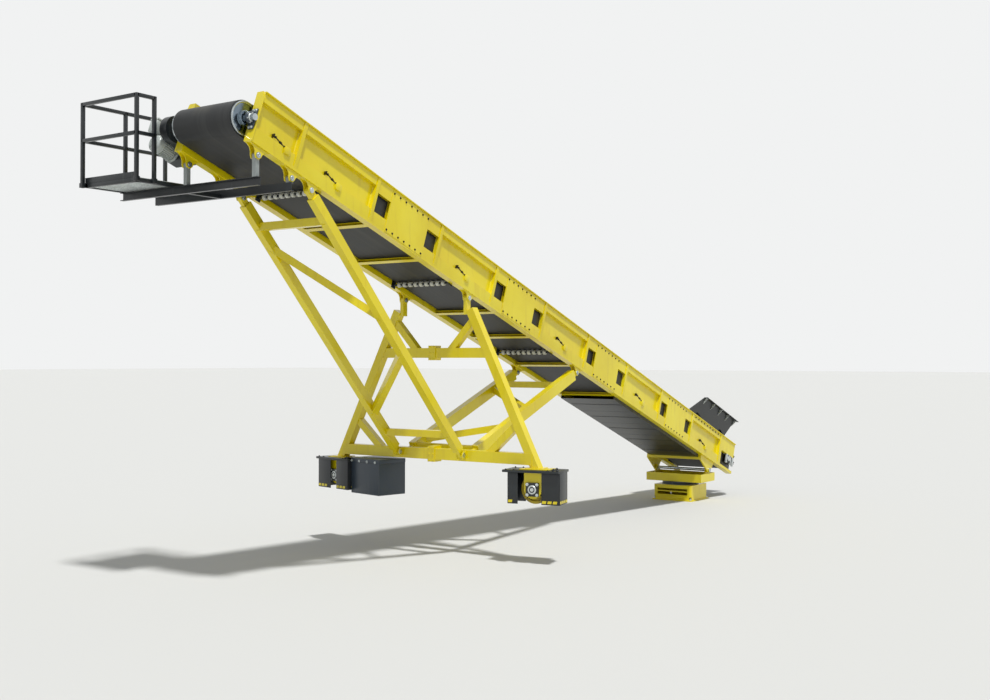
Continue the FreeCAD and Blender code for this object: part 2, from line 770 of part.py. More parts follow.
cover_list = []
for number in range(COVERS):
    middle = D.first_rib + D.bay * (1.5 + 2 * number)
    x = (middle - D.cover_width / 2, middle + D.cover_width / 2)
    z = (D.cover_sill, D.cover_sill + D.cover_height)
    cover_list.append(box("Cover%d" % number, x, (go, go + D.cover_plate), z))
covers = tilt(group("Covers", cover_list))
node("cover_plates_near", covers)
node("cover_plates_far", mirror("CoversFar", covers))

CROSS_BARS = (
    # bays up the slope from the hinge line
    (0.267,),
    (2.907,),
    (3.993,),
    (4.920,),
    (5.640,),
    (6.987,),
    (7.760,),
)
bars = []
for number, (bays,) in enumerate(CROSS_BARS):
    at = D.bay * bays
    x = (at - D.bar_width / 2, at + D.bar_width / 2)
    solid = box("Bar%d" % number, x, (-gi, gi), (0, D.bar_height))
    z = (D.girder_plate / 2, D.bar_height - D.girder_plate / 2)
    inner_x = (x[0] + D.girder_plate / 2, x[1] + D.girder_plate)
    wide = gi + D.girder_plate
    hollow = box("BarHollow%d" % number, inner_x, (-wide, wide), z)
    bars.append(cut("CrossBar%d" % number, solid, hollow))
node("girder_cross_bars", tilt(group("CrossBars", bars)))

# Idlers

wing_cosine = cosine(D.trough_angle)
wing_sine = sine(D.trough_angle)
wing_length = (D.belt_width / 2) - D.trough_half_flat
roller_under = D.trough_level - D.fit
transom = (D.trough_level - D.roller_radius * 2 - 58, D.trough_level - D.roller_radius * 2 - 18)
stand = 8
frames = []
rollers = []
for number in range(CARRY_IDLERS):
    tag = "Idler%d" % number
    at = D.first_idler + D.idler_pitch * number
    centre_high = roller_under - D.roller_radius
    centre_half = D.trough_half_flat - 12
    centre = rod(tag + "Centre", "Y", D.roller_radius, -centre_half, centre_half, (at, centre_high))
    spindle = rod(tag + "Spindle", "Y", 12, -centre_half - 6, centre_half + 6, (at, centre_high))
    wing = rod(tag + "Wing", "Z", D.roller_radius, 0, wing_length - 20, (at, 0))
    pin = rod(tag + "WingPin", "Z", 12, 0, wing_length + 76, (at, 0))
    lean = 90 - D.trough_angle.value
    shift = D.roller_radius + D.fit
    wing_y = D.trough_half_flat + wing_sine * shift + wing_cosine * 22
    wing_z = D.trough_level - wing_cosine * shift + wing_sine * 22
    for piece, back in ((wing, size(0)), (pin, size(50))):
        move(piece, at, wing_y - wing_cosine * back, wing_z - wing_sine * back, Rotation(Vector(1, 0, 0), -lean))
    wing_roller = fuse(tag + "WingRoller", [wing, pin])
    centre_roller = fuse(tag + "CentreRoller", [centre, spindle])
    far_roller = mirror(tag + "WingRollerFar", wing_roller)
    rollers += [centre_roller, wing_roller, far_roller]
    bed = box(tag + "Bed", (at - 35, at + 35), (-gi, gi), transom)
    inner_y = D.trough_half_flat - 8
    inner = box(tag + "Inner", (at - 25, at + 25), (inner_y, inner_y + stand), (transom[1], centre_high + 20))
    outer_y = wing_y + wing_cosine * (wing_length - 20) + wing_sine * D.roller_radius + 2
    outer_top = wing_z + wing_sine * wing_length + 34
    outer = box(tag + "Outer", (at - 25, at + 25), (outer_y, outer_y + stand), (transom[1], outer_top))
    stands = [inner, outer, mirror(tag + "InnerFar", inner), mirror(tag + "OuterFar", outer)]
    frame = fuse(tag + "Frame", [bed] + stands)
    frames.append(cut(tag + "FrameCut", frame, centre_roller, wing_roller, far_roller))
node("carry_idler_frames", tilt(group("CarryFrames", frames)))
node("carry_idler_rollers", tilt(group("CarryRollers", rollers)))

belt_low = D.pulley_height - D.pulley_radius - D.belt_gap
return_axis = belt_low - D.belt_thickness - D.fit - D.roller_radius
returns = []
plates = []
for number in range(RETURN_IDLERS):
    tag = "Return%d" % number
    at = D.first_return + D.return_pitch * number
    plate_in = gi - stand
    parts = [rod(tag + "Bar", "Y", 15, -plate_in, plate_in, (at, return_axis))]
    for count in range(RETURN_DISCS):
        middle = D.disc_pitch * (count - (RETURN_DISCS - 1) / 2)
        low = middle - D.disc_width / 2
        parts.append(
            rod(tag + "Disc%d" % count, "Y", D.roller_radius, low, low + D.disc_width, (at, return_axis))
        )
    returns.append(fuse(tag + "Roller", parts))
    plate = box(tag + "Plate", (at - 45, at + 45), (plate_in, gi), (return_axis - 32, low_band * 0.6))
    plates += [plate, mirror(tag + "PlateFar", plate)]
node("return_idlers", tilt(group("ReturnRollers", returns)))
node("return_idler_brackets", tilt(group("ReturnPlates", plates)))

# Belt

half = D.belt_width / 2
flat = D.trough_half_flat
rise = wing_sine * wing_length
reach = flat + wing_cosine * wing_length
belt_top = D.pulley_height + D.pulley_radius + D.belt_gap
thick = D.belt_thickness


def belt_section(name, at, level, edge_y, lift):
    """The belt's section across the run: a flat middle and two wings."""
    under = [(-edge_y, level + lift), (-flat, level), (flat, level), (edge_y, level + lift)]
    over = [(y, z + thick) for y, z in reversed(under)]
    return outline(name, "YZ", under + over, at)


def belt_loft(name, first, last):
    made = doc.addObject("Part::Loft", name)
    made.Sections = [first, last]
    made.Solid = True
    made.Ruled = True
    return made


trough_from = D.tail_pulley_at + D.transition
trough_to = D.head_pulley_at - D.transition
tail_flat = belt_section("BeltTailFlat", D.tail_pulley_at, belt_top, half, 0)
tail_trough = belt_section("BeltTailTrough", trough_from, D.trough_level, reach, rise)
head_trough = belt_section("BeltHeadTrough", trough_to, D.trough_level, reach, rise)
head_flat = belt_section("BeltHeadFlat", D.head_pulley_at, belt_top, half, 0)
belt_parts = [
    belt_loft("BeltTailLoft", tail_flat, tail_trough),
    belt_loft("BeltTrough", tail_trough, head_trough),
    belt_loft("BeltHeadLoft", head_trough, head_flat),
    box("BeltReturn", (D.tail_pulley_at, D.head_pulley_at), (-half, half), (belt_low - thick, belt_low)),
]
for name, at, side in (("Head", D.head_pulley_at, 1), ("Tail", D.tail_pulley_at, -1)):
    radius = D.pulley_radius + D.belt_gap
    around = (at, D.pulley_height)
    outer = rod("Belt%sOuter" % name, "Y", radius + thick, -half, half, around)
    inner = rod("Belt%sInner" % name, "Y", radius, -half - 1, half + 1, around)
    wrap = cut("Belt%sRing" % name, outer, inner)
    clear = radius * 2
    x = (at - clear, at) if side > 0 else (at, at + clear)
    spare = box("Belt%sSpare" % name, x, (-half - 1, half + 1), (D.pulley_height - clear, D.pulley_height + clear))
    belt_parts.append(cut("Belt%sWrap" % name, wrap, spare))
node("belt", tilt(fuse("Belt", belt_parts)))

# Pulleys


def pulley(name, near_end, far_end):
    """A drum with recessed end discs, hubs and its shaft, turned about Y."""
    owner = body(name)
    radius, face, axle = D.pulley_radius, D.pulley_half_face, D.pulley_shaft_radius
    rim, inset, hub, hub_end = size(12), size(16), axle * 2.3, axle * 0.28
    loop = [
        (0, -far_end),
        (axle, -far_end),
        (axle, -face - hub_end),
        (hub, -face - hub_end),
        (hub, -face + inset),
        (radius - rim, -face + inset),
        (radius - rim, -face),
        (radius, -face),
        (radius, face),
        (radius - rim, face),
        (radius - rim, face - inset),
        (hub, face - inset),
        (hub, face + hub_end),
        (axle, face + hub_end),
        (axle, near_end),
        (0, near_end),
    ]
    turned(owner, name + "Turned", sketch_in(owner, name + "Section", "XY_Plane", [loop]))
    return owner


head_pulley = pulley("HeadPulley", go + 30, D.gear_face + D.gear_width - 20)
x, z = from_slope(D.head_pulley_at, D.pulley_height)
move(head_pulley, x, 0, z)
node("head_pulley", head_pulley)
tail_pulley = pulley("TailPulley", go - 4, go - 4)
x, z = from_slope(D.tail_pulley_at, D.pulley_height)
move(tail_pulley, x, 0, z)
node("tail_pulley", tail_pulley)

# Pans

pan_list = []
for number in range(PANS):
    low = D.pan_start + (D.pan_length + D.pan_gap) * number
    wide = D.pan_half_width
    outer = box("Pan%d" % number, (low, low + D.pan_length), (-wide, wide), (-D.pan_depth, 0))
    inner = box(
        "PanInside%d" % number,
        (low - 1, low + D.pan_length + 1),
        (-wide + D.pan_sheet, wide - D.pan_sheet),
        (-D.pan_depth + D.pan_sheet, 1),
    )
    swage_x = (low + D.pan_length * 0.45, low + D.pan_length * 0.55)
    swage_z = (-D.pan_depth - D.pan_sheet, -D.pan_depth)
    swage = box("PanSwage%d" % number, swage_x, (-wide + 40, wide - 40), swage_z)
    pan_list.append(fuse("PanWhole%d" % number, [cut("PanTray%d" % number, outer, inner), swage]))
node("belly_pans", tilt(group("Pans", pan_list)))

# Feed hopper

rim_y, foot_y = D.hopper_rim_y, D.hopper_foot_y
wall_loop = [
    (foot_y, D.hopper_foot),
    (foot_y + D.hopper_sheet, D.hopper_foot),
    (rim_y + D.hopper_sheet, D.hopper_rim - D.hopper_sheet),
    (rim_y + D.hopper_flange, D.hopper_rim - D.hopper_sheet),
    (rim_y + D.hopper_flange, D.hopper_rim),
    (rim_y, D.hopper_rim),
]
rim_tail = D.hopper_tail - D.hopper_back_lean
wall = slab("HopperWall", "YZ", wall_loop, rim_tail, D.hopper_head)
head_edge = [
    (D.hopper_head, D.hopper_nose),
    (D.hopper_head + D.hopper_sheet, D.hopper_nose),
    (D.hopper_head + D.hopper_sheet, D.hopper_rim + 1),
    (D.hopper_head - D.hopper_front_lean, D.hopper_rim + 1),
]
wide_y = rim_y + D.hopper_flange + 1
trim_head = slab("HopperHeadTrim", "XZ", head_edge, foot_y - 1, wide_y)
tail_edge = [
    (D.hopper_tail, D.hopper_foot - 1),
    (rim_tail, D.hopper_rim + 1),
    (rim_tail - 1, D.hopper_rim + 1),
    (rim_tail - 1, D.hopper_foot - 1),
]
trim_tail = slab("HopperTailTrim", "XZ", tail_edge, foot_y - 1, wide_y)
side = cut("HopperSide", wall, trim_head, trim_tail)
gusset_list = []
rim_head = D.hopper_head - D.hopper_front_lean
lean_in = (rim_y - foot_y) / (D.hopper_rim - D.hopper_foot)
gusset_top = D.hopper_rim - D.hopper_sheet
gusset_drop = D.hopper_flange * 1.6
bite = D.hopper_sheet / 5
for number in range(HOPPER_GUSSETS):
    step = (rim_head - rim_tail - D.hopper_flange) / (HOPPER_GUSSETS - 1)
    at = rim_tail + D.hopper_flange / 2 + step * number
    loop = [
        (rim_y + D.hopper_sheet - bite, gusset_top),
        (rim_y + D.hopper_sheet - lean_in * gusset_drop - bite, gusset_top - gusset_drop),
        (rim_y + D.hopper_flange, gusset_top),
    ]
    gusset_list.append(
        slab("HopperGusset%d" % number, "YZ", loop, at - D.hopper_sheet / 2, at + D.hopper_sheet / 2)
    )
feet = []
foot_rise = D.hopper_flange * 2.5
foot_edge = go - D.girder_lip
for number, at in enumerate((D.hopper_tail + D.hopper_back_lean, D.hopper_head - D.hopper_front_lean)):
    lean_y = foot_y + lean_in * (D.girder_depth - D.hopper_foot)
    loop = [
        (lean_y - bite, D.girder_depth),
        (foot_edge, D.girder_depth),
        (foot_edge, D.girder_depth + D.hopper_sheet),
        (lean_y + lean_in * foot_rise + D.hopper_sheet, D.girder_depth + foot_rise),
        (lean_y + lean_in * foot_rise + bite, D.girder_depth + foot_rise),
    ]
    feet.append(slab("HopperFoot%d" % number, "YZ", loop, at, at + D.hopper_sheet))
near_side = fuse("HopperNear", [side] + gusset_list + feet)
back_loop = [
    (D.hopper_tail, D.hopper_foot),
    (D.hopper_tail - D.hopper_sheet, D.hopper_foot),
    (rim_tail - D.hopper_sheet, D.hopper_rim),
    (rim_tail, D.hopper_rim),
]
back_plate = slab("HopperBackPlate", "XZ", back_loop, -wide_y, wide_y)
back_flange = box(
    "HopperBackFlange",
    (rim_tail - D.hopper_flange, rim_tail),
    (-rim_y - D.hopper_flange, rim_y + D.hopper_flange),
    (gusset_top, D.hopper_rim),
)
back_edge = [
    (-foot_y, D.hopper_foot - 1),
    (foot_y, D.hopper_foot - 1),
    (rim_y + D.hopper_sheet, D.hopper_rim + 1),
    (-rim_y - D.hopper_sheet, D.hopper_rim + 1),
]
back_shape = slab("HopperBackShape", "YZ", back_edge, rim_tail - 50, D.hopper_tail + 50)
back = doc.addObject("Part::Common", "HopperBack")
back.Base = back_plate
back.Tool = back_shape
node("feed_hopper", tilt(fuse("Hopper", [near_side, mirror("HopperFar", near_side), back, back_flange])))

# Tail take-up

axle = D.pulley_shaft_radius
tu_out = go + 4
tu_in = tu_out - D.takeup_width
half_block = D.takeup_block / 2
tail_at = D.tail_pulley_at
z = (D.pulley_height - D.takeup_height / 2, D.slot_top)
block = box("TakeupBody", (tail_at - half_block, tail_at + half_block), (tu_in, tu_out), z)
bore = rod("TakeupBore", "Y", axle + D.fit, tu_in - 1, go, (tail_at, D.pulley_height))
sliding = cut("TakeupBlock", block, bore)
end_face = -D.girder_tail
end_z = (D.slot_top - D.takeup_block, D.slot_top + D.takeup_width)
end_thick = D.screw_radius
end_plate = box("TakeupEnd", (end_face - end_thick, end_face), (tu_in - end_thick, tu_out), end_z)
screw_y = (tu_in + tu_out) / 2
nut_span = (end_face - end_thick * 2.5, end_face - end_thick)
nut = rod("TakeupNut", "X", D.screw_radius * 1.7, nut_span[0], nut_span[1], (screw_y, D.pulley_height))
screw_across = (screw_y, D.pulley_height)
screw = rod("TakeupScrew", "X", D.screw_radius, end_face - end_thick * 6, tail_at - half_block, screw_across)
holed_end = cut("TakeupEndHoled", end_plate, screw)
frame_end = group("TakeupSide", [sliding, holed_end, fuse("TakeupRod", [screw, cut("NutHoled", nut, screw)])])
node("tail_takeup", tilt(both("Takeup", frame_end)))

# Head bearings

head_at = D.head_pulley_at
end_at = D.girder_head + D.head_plate
hb_out = go
hb_in = go - D.head_block_width
half_high = D.head_block_height / 2
low, high = D.pulley_height - half_high, D.pulley_height + half_high
block_loop = [
    (end_at, low - 35),
    (end_at + 22, low - 35),
    (head_at + D.head_block_reach * 0.6, low + 20),
    (head_at + D.head_block_reach, D.pulley_height - 40),
    (head_at + D.head_block_reach, D.pulley_height + 40),
    (head_at + D.head_block_reach * 0.6, high - 20),
    (end_at + 22, high + 35),
    (end_at, high + 35),
]
head_block = slab(
    "HeadBlock", "XZ", block_loop, hb_in, hb_out, [(head_at, D.pulley_height, axle + D.fit)]
)
node("head_bearings", tilt(both("HeadBlocks", head_block)))

# Belt drive

gear_in = -D.gear_face
gear_out = gear_in - D.gear_width
motor_at = D.pulley_height - D.motor_drop
motor_y = -D.motor_offset
motor_start = head_at - D.motor_back
bevel_start = motor_start - D.bevel_length
case = rod("GearRound", "Y", D.gear_radius, gear_out, gear_in, (head_at, D.pulley_height))
arm_loop = [
    (bevel_start, motor_at - D.bevel_half),
    (head_at, D.pulley_height - D.gear_radius * 0.85),
    (head_at, D.pulley_height + D.gear_radius * 0.85),
    (bevel_start, motor_at + D.bevel_half),
]
gear_arm = slab("GearArm", "XZ", arm_loop, gear_out, gear_in)
bevel = box(
    "BevelCase",
    (bevel_start, motor_start),
    (motor_y - D.bevel_half, gear_out),
    (motor_at - D.bevel_half, motor_at + D.bevel_half),
)
cap = rod("GearCap", "Y", axle + 45, gear_out - 18, gear_out, (head_at, D.pulley_height))
torque_foot = box("TorqueFoot", (bevel_start + 30, bevel_start + 150), (gear_in, -go), (60, low_band * 0.9))
gear_bore = rod("GearBore", "Y", axle + D.fit, gear_out + 10, gear_in + 10, (head_at, D.pulley_height))
gear_whole = fuse("GearWhole", [case, gear_arm, bevel, cap, torque_foot])
node("drive_gearbox", tilt(cut("GearCase", gear_whole, gear_bore)))

case_start = motor_start + D.motor_flange
case_end = case_start + D.motor_length
motor_across = (motor_y, motor_at)
motor_flange = rod("MotorFlange", "X", D.motor_radius + 18, motor_start, case_start, motor_across)
motor_case = rod("MotorCase", "X", D.motor_radius, case_start, case_end, motor_across)
terminal = box(
    "MotorTerminal",
    (case_end - D.terminal_length, case_end),
    (motor_y - D.terminal_width / 2, motor_y + D.terminal_width / 2),
    (motor_at, motor_at + D.motor_radius + D.terminal_height),
)
cowl = body("FanCowl")
cowl_loop = [
    (0, 0),
    (D.fan_radius, 0),
    (D.fan_radius, D.fan_length * 0.50),
    (D.fan_radius * 0.94, D.fan_length * 0.70),
    (D.fan_radius * 0.74, D.fan_length * 0.88),
    (D.fan_radius * 0.40, D.fan_length * 0.97),
    (0, D.fan_length),
]
turned(cowl, "CowlTurned", sketch_in(cowl, "CowlSection", "XY_Plane", [cowl_loop]))
move(cowl, case_end, motor_y, motor_at, Rotation(Vector(0, 0, 1), -90))
motor = fuse("MotorWhole", [motor_flange, motor_case, terminal])
node("drive_motor", tilt(motor))
node("drive_fan_cowl", tilt(group("Cowl", [cowl])))

# Forks under the girders

FORKS = (
    # name, place up the slope, pin below the girders
    ("FrontHanger", D.front_hanger_at, D.hanger_pin_drop),
    ("RearHanger", D.rear_hanger_at, D.hanger_pin_drop),
    ("FrontStay", D.front_pin_at, D.stay_pin_drop),
    ("Leg", D.leg_pin_at, D.leg_pin_drop),
    ("BackStay", D.back_pin_at, D.stay_pin_drop),
)
tongue_half = D.tongue / 2
fork_in = tongue_half + D.fork_gap
fork_out = fork_in + D.fork_plate
eye_out = D.pin_radius * 2.2
fork_plates = []
fork_pins = []
for name, at, drop in FORKS:
    loop = [
        (at - D.bracket_half_length, 0),
        (at + D.bracket_half_length, 0),
        (at + eye_out * 1.9, -drop * 0.28),
        (at + eye_out * 1.2, -drop * 0.72),
        (at + eye_out, -drop - eye_out * 0.2),
        (at + eye_out * 0.55, -drop - eye_out * 0.85),
        (at - eye_out * 0.55, -drop - eye_out * 0.85),
        (at - eye_out, -drop - eye_out * 0.2),
        (at - eye_out * 1.2, -drop * 0.72),
        (at - eye_out * 1.9, -drop * 0.28),
    ]
    eye = [(at, -drop, D.pin_radius)]
    for side, (low, high) in (
        ("In", (girder_middle - fork_out, girder_middle - fork_in)),
        ("Out", (girder_middle + fork_in, girder_middle + fork_out)),
    ):
        plate = slab("Fork%s%s" % (name, side), "XZ", loop, low, high, eye)
        fork_plates += [plate, mirror("Fork%s%sFar" % (name, side), plate)]
    shank_span = (girder_middle - fork_out, girder_middle + fork_out)
    shank = rod("Pin%s" % name, "Y", D.pin_radius, *shank_span, (at, -drop))
    heads = [
        rod("Pin%sHead%d" % (name, n), "Y", D.pin_head_radius, low, low + D.pin_head, (at, -drop))
        for n, low in enumerate((shank_span[0] - D.pin_head, shank_span[1]))
    ]
    whole = fuse("Pin%sWhole" % name, [shank] + heads)
    fork_pins += [whole, mirror("Pin%sFar" % name, whole)]
node("girder_forks", tilt(group("Forks", fork_plates)))

# Tail hinge lugs

lug_loop = [
    (-D.lug_root * 0.36, 0),
    (-D.lug_radius, -D.hinge_drop - D.lug_radius * 0.4),
    (-D.lug_radius * 0.5, -D.hinge_drop - D.lug_radius),
    (D.lug_radius * 0.5, -D.hinge_drop - D.lug_radius),
    (D.lug_root - D.ear_plate / 2, -D.lug_nose),
    (D.lug_root, 0),
]
lug = slab("Lug", "XZ", lug_loop, lug_inner, lug_outer, [(0, -D.hinge_drop, D.hinge_radius + D.fit)])
nose_loop = [
    (D.lug_root - D.ear_plate, 0),
    (D.lug_root - D.ear_plate * 1.5, -D.lug_nose * 0.9),
    (D.lug_root - D.ear_plate / 2, -D.lug_nose),
    (D.lug_root, 0),
]
nose = slab("LugNose", "XZ", nose_loop, -lug_inner - D.ear_plate / 2, lug_inner + D.ear_plate / 2)
node("tail_hinge_lugs", tilt(fuse("Lugs", [lug, mirror("LugFar", lug), nose])))

# Trestle

tx = D.trestle_x
leg_x, leg_z = from_slope(D.leg_pin_at, -D.leg_pin_drop)
foot_z = D.bogie_plate_under + D.bogie_plate + D.foot_plate
mid = girder_middle
lean = (D.leg_foot_y - mid) / (leg_z - foot_z)


def leg_y(height):
    """The leg's axis from the centre plane at a height."""
    return mid + (leg_z - height) * lean


leg_run = strut(
    "LegRun",
    (tx, leg_y(foot_z - D.leg_section / 2), foot_z - D.leg_section / 2),
    (tx, leg_y(leg_z - D.leg_head * 0.9), leg_z - D.leg_head * 0.9),
    D.leg_section,
    D.leg_section,
)
tongue_y = (mid - tongue_half, mid + tongue_half)
eye = D.leg_eye
leg_tongue = box("LegTongue", (leg_x - eye, leg_x + eye), tongue_y, (leg_z - D.leg_head * 1.3, leg_z))
leg_eye = rod("LegEye", "Y", eye, tongue_y[0], tongue_y[1], (leg_x, leg_z))
leg_hole = rod("LegHole", "Y", D.pin_radius, mid - D.tongue, mid + D.tongue, (leg_x, leg_z))
spare = D.leg_section * 2
below = box(
    "BelowFoot", (tx - spare, tx + spare), (D.leg_foot_y - spare, D.leg_foot_y + spare), (foot_z - spare, foot_z)
)
leg = cut("Leg", fuse("LegWhole", [leg_run, leg_tongue, leg_eye]), leg_hole, below)
leg_far = mirror("LegFar", leg)
node("trestle_leg_near", leg)
node("trestle_leg_far", leg_far)


def cross_beam(name, height, depth, width):
    """A beam between the legs, cut to their faces, with its splice collar."""
    end = leg_y(height) + 20
    z = (height - depth / 2, height + depth / 2)
    x = (tx - width / 2, tx + width / 2)
    bar = cut(name, box(name + "Bar", x, (-end, end), z), leg, leg_far)
    collar = box(
        name + "Block",
        (x[0] - D.splice_plate, x[1] + D.splice_plate),
        (-D.splice_length / 2, D.splice_length / 2),
        (z[0] - D.splice_stand, z[1] + D.splice_stand),
    )
    return fuse(name + "Whole", [bar, collar])


low_beam_height = foot_z + D.low_beam_gap + D.low_beam_depth / 2
mid_beam = cross_beam("MidBeam", D.mid_beam_height, D.mid_beam_depth, D.mid_beam_width)
low_beam = cross_beam("LowBeam", low_beam_height, D.low_beam_depth, D.low_beam_width)
node("trestle_mid_beam", mid_beam)
node("trestle_lower_beam", low_beam)

knees = []
KNEES = (
    # name, Y on the beam, beam's axis, Y on the leg, height on the leg
    ("Knee", D.knee_beam_y, D.mid_beam_height, leg_y(D.knee_leg_height), D.knee_leg_height),
    ("LowKnee", D.low_knee_beam_y, low_beam_height, leg_y(D.low_knee_leg_height), D.low_knee_leg_height),
)
for name, beam_y, beam_z, on_leg_y, on_leg_z in KNEES:
    raw = strut(name + "Run", (tx, beam_y, beam_z), (tx, on_leg_y, on_leg_z), D.knee_section, D.knee_section)
    beam = mid_beam if name == "Knee" else low_beam
    knees.append(cut(name, raw, leg, beam))
knees += [mirror("KneeFar", knees[0]), mirror("LowKneeFar", knees[1])]
node("trestle_knee_braces", group("Knees", knees))

# Stays


def stay(name, top, foot, depth, width):
    """A pinned stay: a box section with a thinner tongue and an eye at each end."""
    start = Vector(float(top[0]), float(mid), float(top[1]))
    end = Vector(float(foot[0]), float(mid), float(foot[1]))
    along = (end - start).normalize()
    bare = D.stay_end.value
    run = strut(name + "Run", start + along * bare, end - along * bare, width, depth)
    tongue = strut(name + "Tongue", start, end, D.tongue, D.tongue_depth)
    parts = [run, tongue]
    holes = []
    for number, (x, z) in enumerate((top, foot)):
        parts.append(
            rod(name + "Eye%d" % number, "Y", D.tongue_depth / 2, mid - tongue_half, mid + tongue_half, (x, z))
        )
        holes.append(rod(name + "Hole%d" % number, "Y", D.pin_radius, mid - D.tongue, mid + D.tongue, (x, z)))
    return cut(name, fuse(name + "Whole", parts), *holes), start, end


beam_face = D.low_beam_width / 2
foot_height = low_beam_height + D.stay_foot_rise
front_foot = (tx + beam_face + D.stay_foot_reach, foot_height)
back_foot = (tx - beam_face - D.stay_foot_reach, foot_height)
front_top = from_slope(D.front_pin_at, -D.stay_pin_drop)
back_top = from_slope(D.back_pin_at, -D.stay_pin_drop)
front_stay, front_start, front_end = stay(
    "FrontStay", front_top, front_foot, D.front_stay_depth, D.front_stay_width
)
back_stay, back_start, back_end = stay("BackStay", back_top, back_foot, D.back_stay_depth, D.back_stay_width)
front_far = mirror("FrontStayFar", front_stay)
back_far = mirror("BackStayFar", back_stay)
node("front_stay_near", front_stay)
node("front_stay_far", front_far)
node("back_stay_near", back_stay)
node("back_stay_far", back_far)

TIES = (
    # set, name, part of the near stay's length from its top, part of the far stay's length
    ("Front", "Top", 0.100, 0.100),
    ("Front", "UpperDiagonal", 0.445, 0.177),
    ("Front", "LowerDiagonal", 0.574, 0.825),
    ("Front", "Bottom", 0.909, 0.909),
    ("Back", "Top", 0.170, 0.170),
    ("Back", "UpperDiagonal", 0.500, 0.230),
    ("Back", "LowerDiagonal", 0.690, 0.870),
    ("Back", "Bottom", 0.947, 0.947),
)
tie_sets = {"Front": [], "Back": []}
for kind, name, near_part, far_part in TIES:
    start, end, near, far = (
        (front_start, front_end, front_stay, front_far)
        if kind == "Front"
        else (back_start, back_end, back_stay, back_far)
    )
    near_at = start + (end - start) * near_part
    far_at = start + (end - start) * far_part
    far_at.y = -far_at.y
    raw = strut("Tie%s%sRun" % (kind, name), near_at, far_at, D.tie_section, D.tie_section)
    tie_sets[kind].append(cut("Tie%s%s" % (kind, name), raw, near, far))
node("front_stay_bracing", group("FrontTies", tie_sets["Front"]))
node("back_stay_bracing", group("BackTies", tie_sets["Back"]))

lugs = []
for name, (x, z), face in (("Front", front_foot, tx + beam_face), ("Back", back_foot, tx - beam_face)):
    reach_x = x + 45 if name == "Front" else x - 45
    loop = [(face, z - 60), (reach_x, z - 40), (reach_x, z + 40), (face, z + 60)]
    for side, (low, high) in (("In", (mid - fork_out, mid - fork_in)), ("Out", (mid + fork_in, mid + fork_out))):
        plate = slab("FootLug%s%s" % (name, side), "XZ", loop, low, high, [(x, z, D.pin_radius)])
        lugs += [plate, mirror("FootLug%s%sFar" % (name, side), plate)]
    shank = rod("FootPin%s" % name, "Y", D.pin_radius, mid - fork_out, mid + fork_out, (x, z))
    heads = [
        rod("FootPin%sHead%d" % (name, n), "Y", D.foot_pin_head_radius, start_y, start_y + D.pin_head, (x, z))
        for n, start_y in enumerate((mid - fork_out - D.pin_head, mid + fork_out))
    ]
    whole = fuse("FootPin%sWhole" % name, [shank] + heads)
    lugs += [whole, mirror("FootPin%sFar" % name, whole)]
node("stay_foot_forks", group("FootLugs", lugs))
node("girder_fork_pins", tilt(group("ForkPins", fork_pins)))

# Bogies

yaw = arctangent(D.leg_foot_y / D.trestle_x)
axle_height = D.track_level + D.wheel_radius


def at_bogie(thing):
    """Puts a thing drawn about the wheel (X outwards, Y along the track) under the near leg."""
    move(thing, D.trestle_x, D.leg_foot_y, 0, Rotation(Vector(0, 0, 1), yaw.value))
    bind(thing, "Placement.Rotation.Angle", yaw)
    return thing



def at_far_bogie(thing):
    """Puts a thing drawn about the wheel (X outwards, Y along the track) under the far leg."""
    move(thing, D.trestle_x, -D.leg_foot_y, 0, Rotation(Vector(0, 0, -1), yaw.value))
    bind(thing, "Placement.Rotation.Angle", yaw)
    return thing


half_length, half_width = D.guard_half_length, D.guard_half_width
plate_under = D.bogie_plate_under
plate_top = plate_under + D.bogie_plate
top_plate = box(
    "BogiePlate",
    (-D.bogie_plate_half_width, D.bogie_plate_half_width),
    (D.guard_offset - D.bogie_plate_half_length, D.guard_offset + D.bogie_plate_half_length),
    (plate_under, plate_top),
)
near_plate = at_bogie(group("BogiePlateNear", [top_plate]))
far_plate = at_far_bogie(group("BogiePlateFar", [top_plate]))
node("bogie_plates", group("BogiePlates", [near_plate, far_plate]))
fw = D.foot_half_width
foot_block = box("FootPlate", (-fw, fw), (-fw, fw), (plate_top, foot_z))
node("leg_foot_plates", both("FootPlates", at_bogie(group("FootPlateSet", [foot_block]))))

guard_y = (D.guard_offset - half_length, D.guard_offset + half_length)
shell = box("GuardBlock", (-half_width, half_width), guard_y, (D.guard_bottom, plate_under))
sheet = D.guard_sheet
inside = box(
    "GuardInside",
    (-half_width + sheet, half_width - sheet),
    (guard_y[0] + sheet, guard_y[1] - sheet),
    (D.guard_bottom - 1, plate_under + 1),
)
window_half = D.guard_window / 2
window = box(
    "GuardWindow",
    (-half_width - 1, half_width + 1),
    (-window_half, window_half),
    (D.guard_bottom - 1, plate_under + 1),
)
guard = cut("Guard", shell, inside, window)
node("wheel_guard_near", at_bogie(group("GuardNear", [guard])))
node("wheel_guard_far", at_far_bogie(group("GuardFar", [guard])))

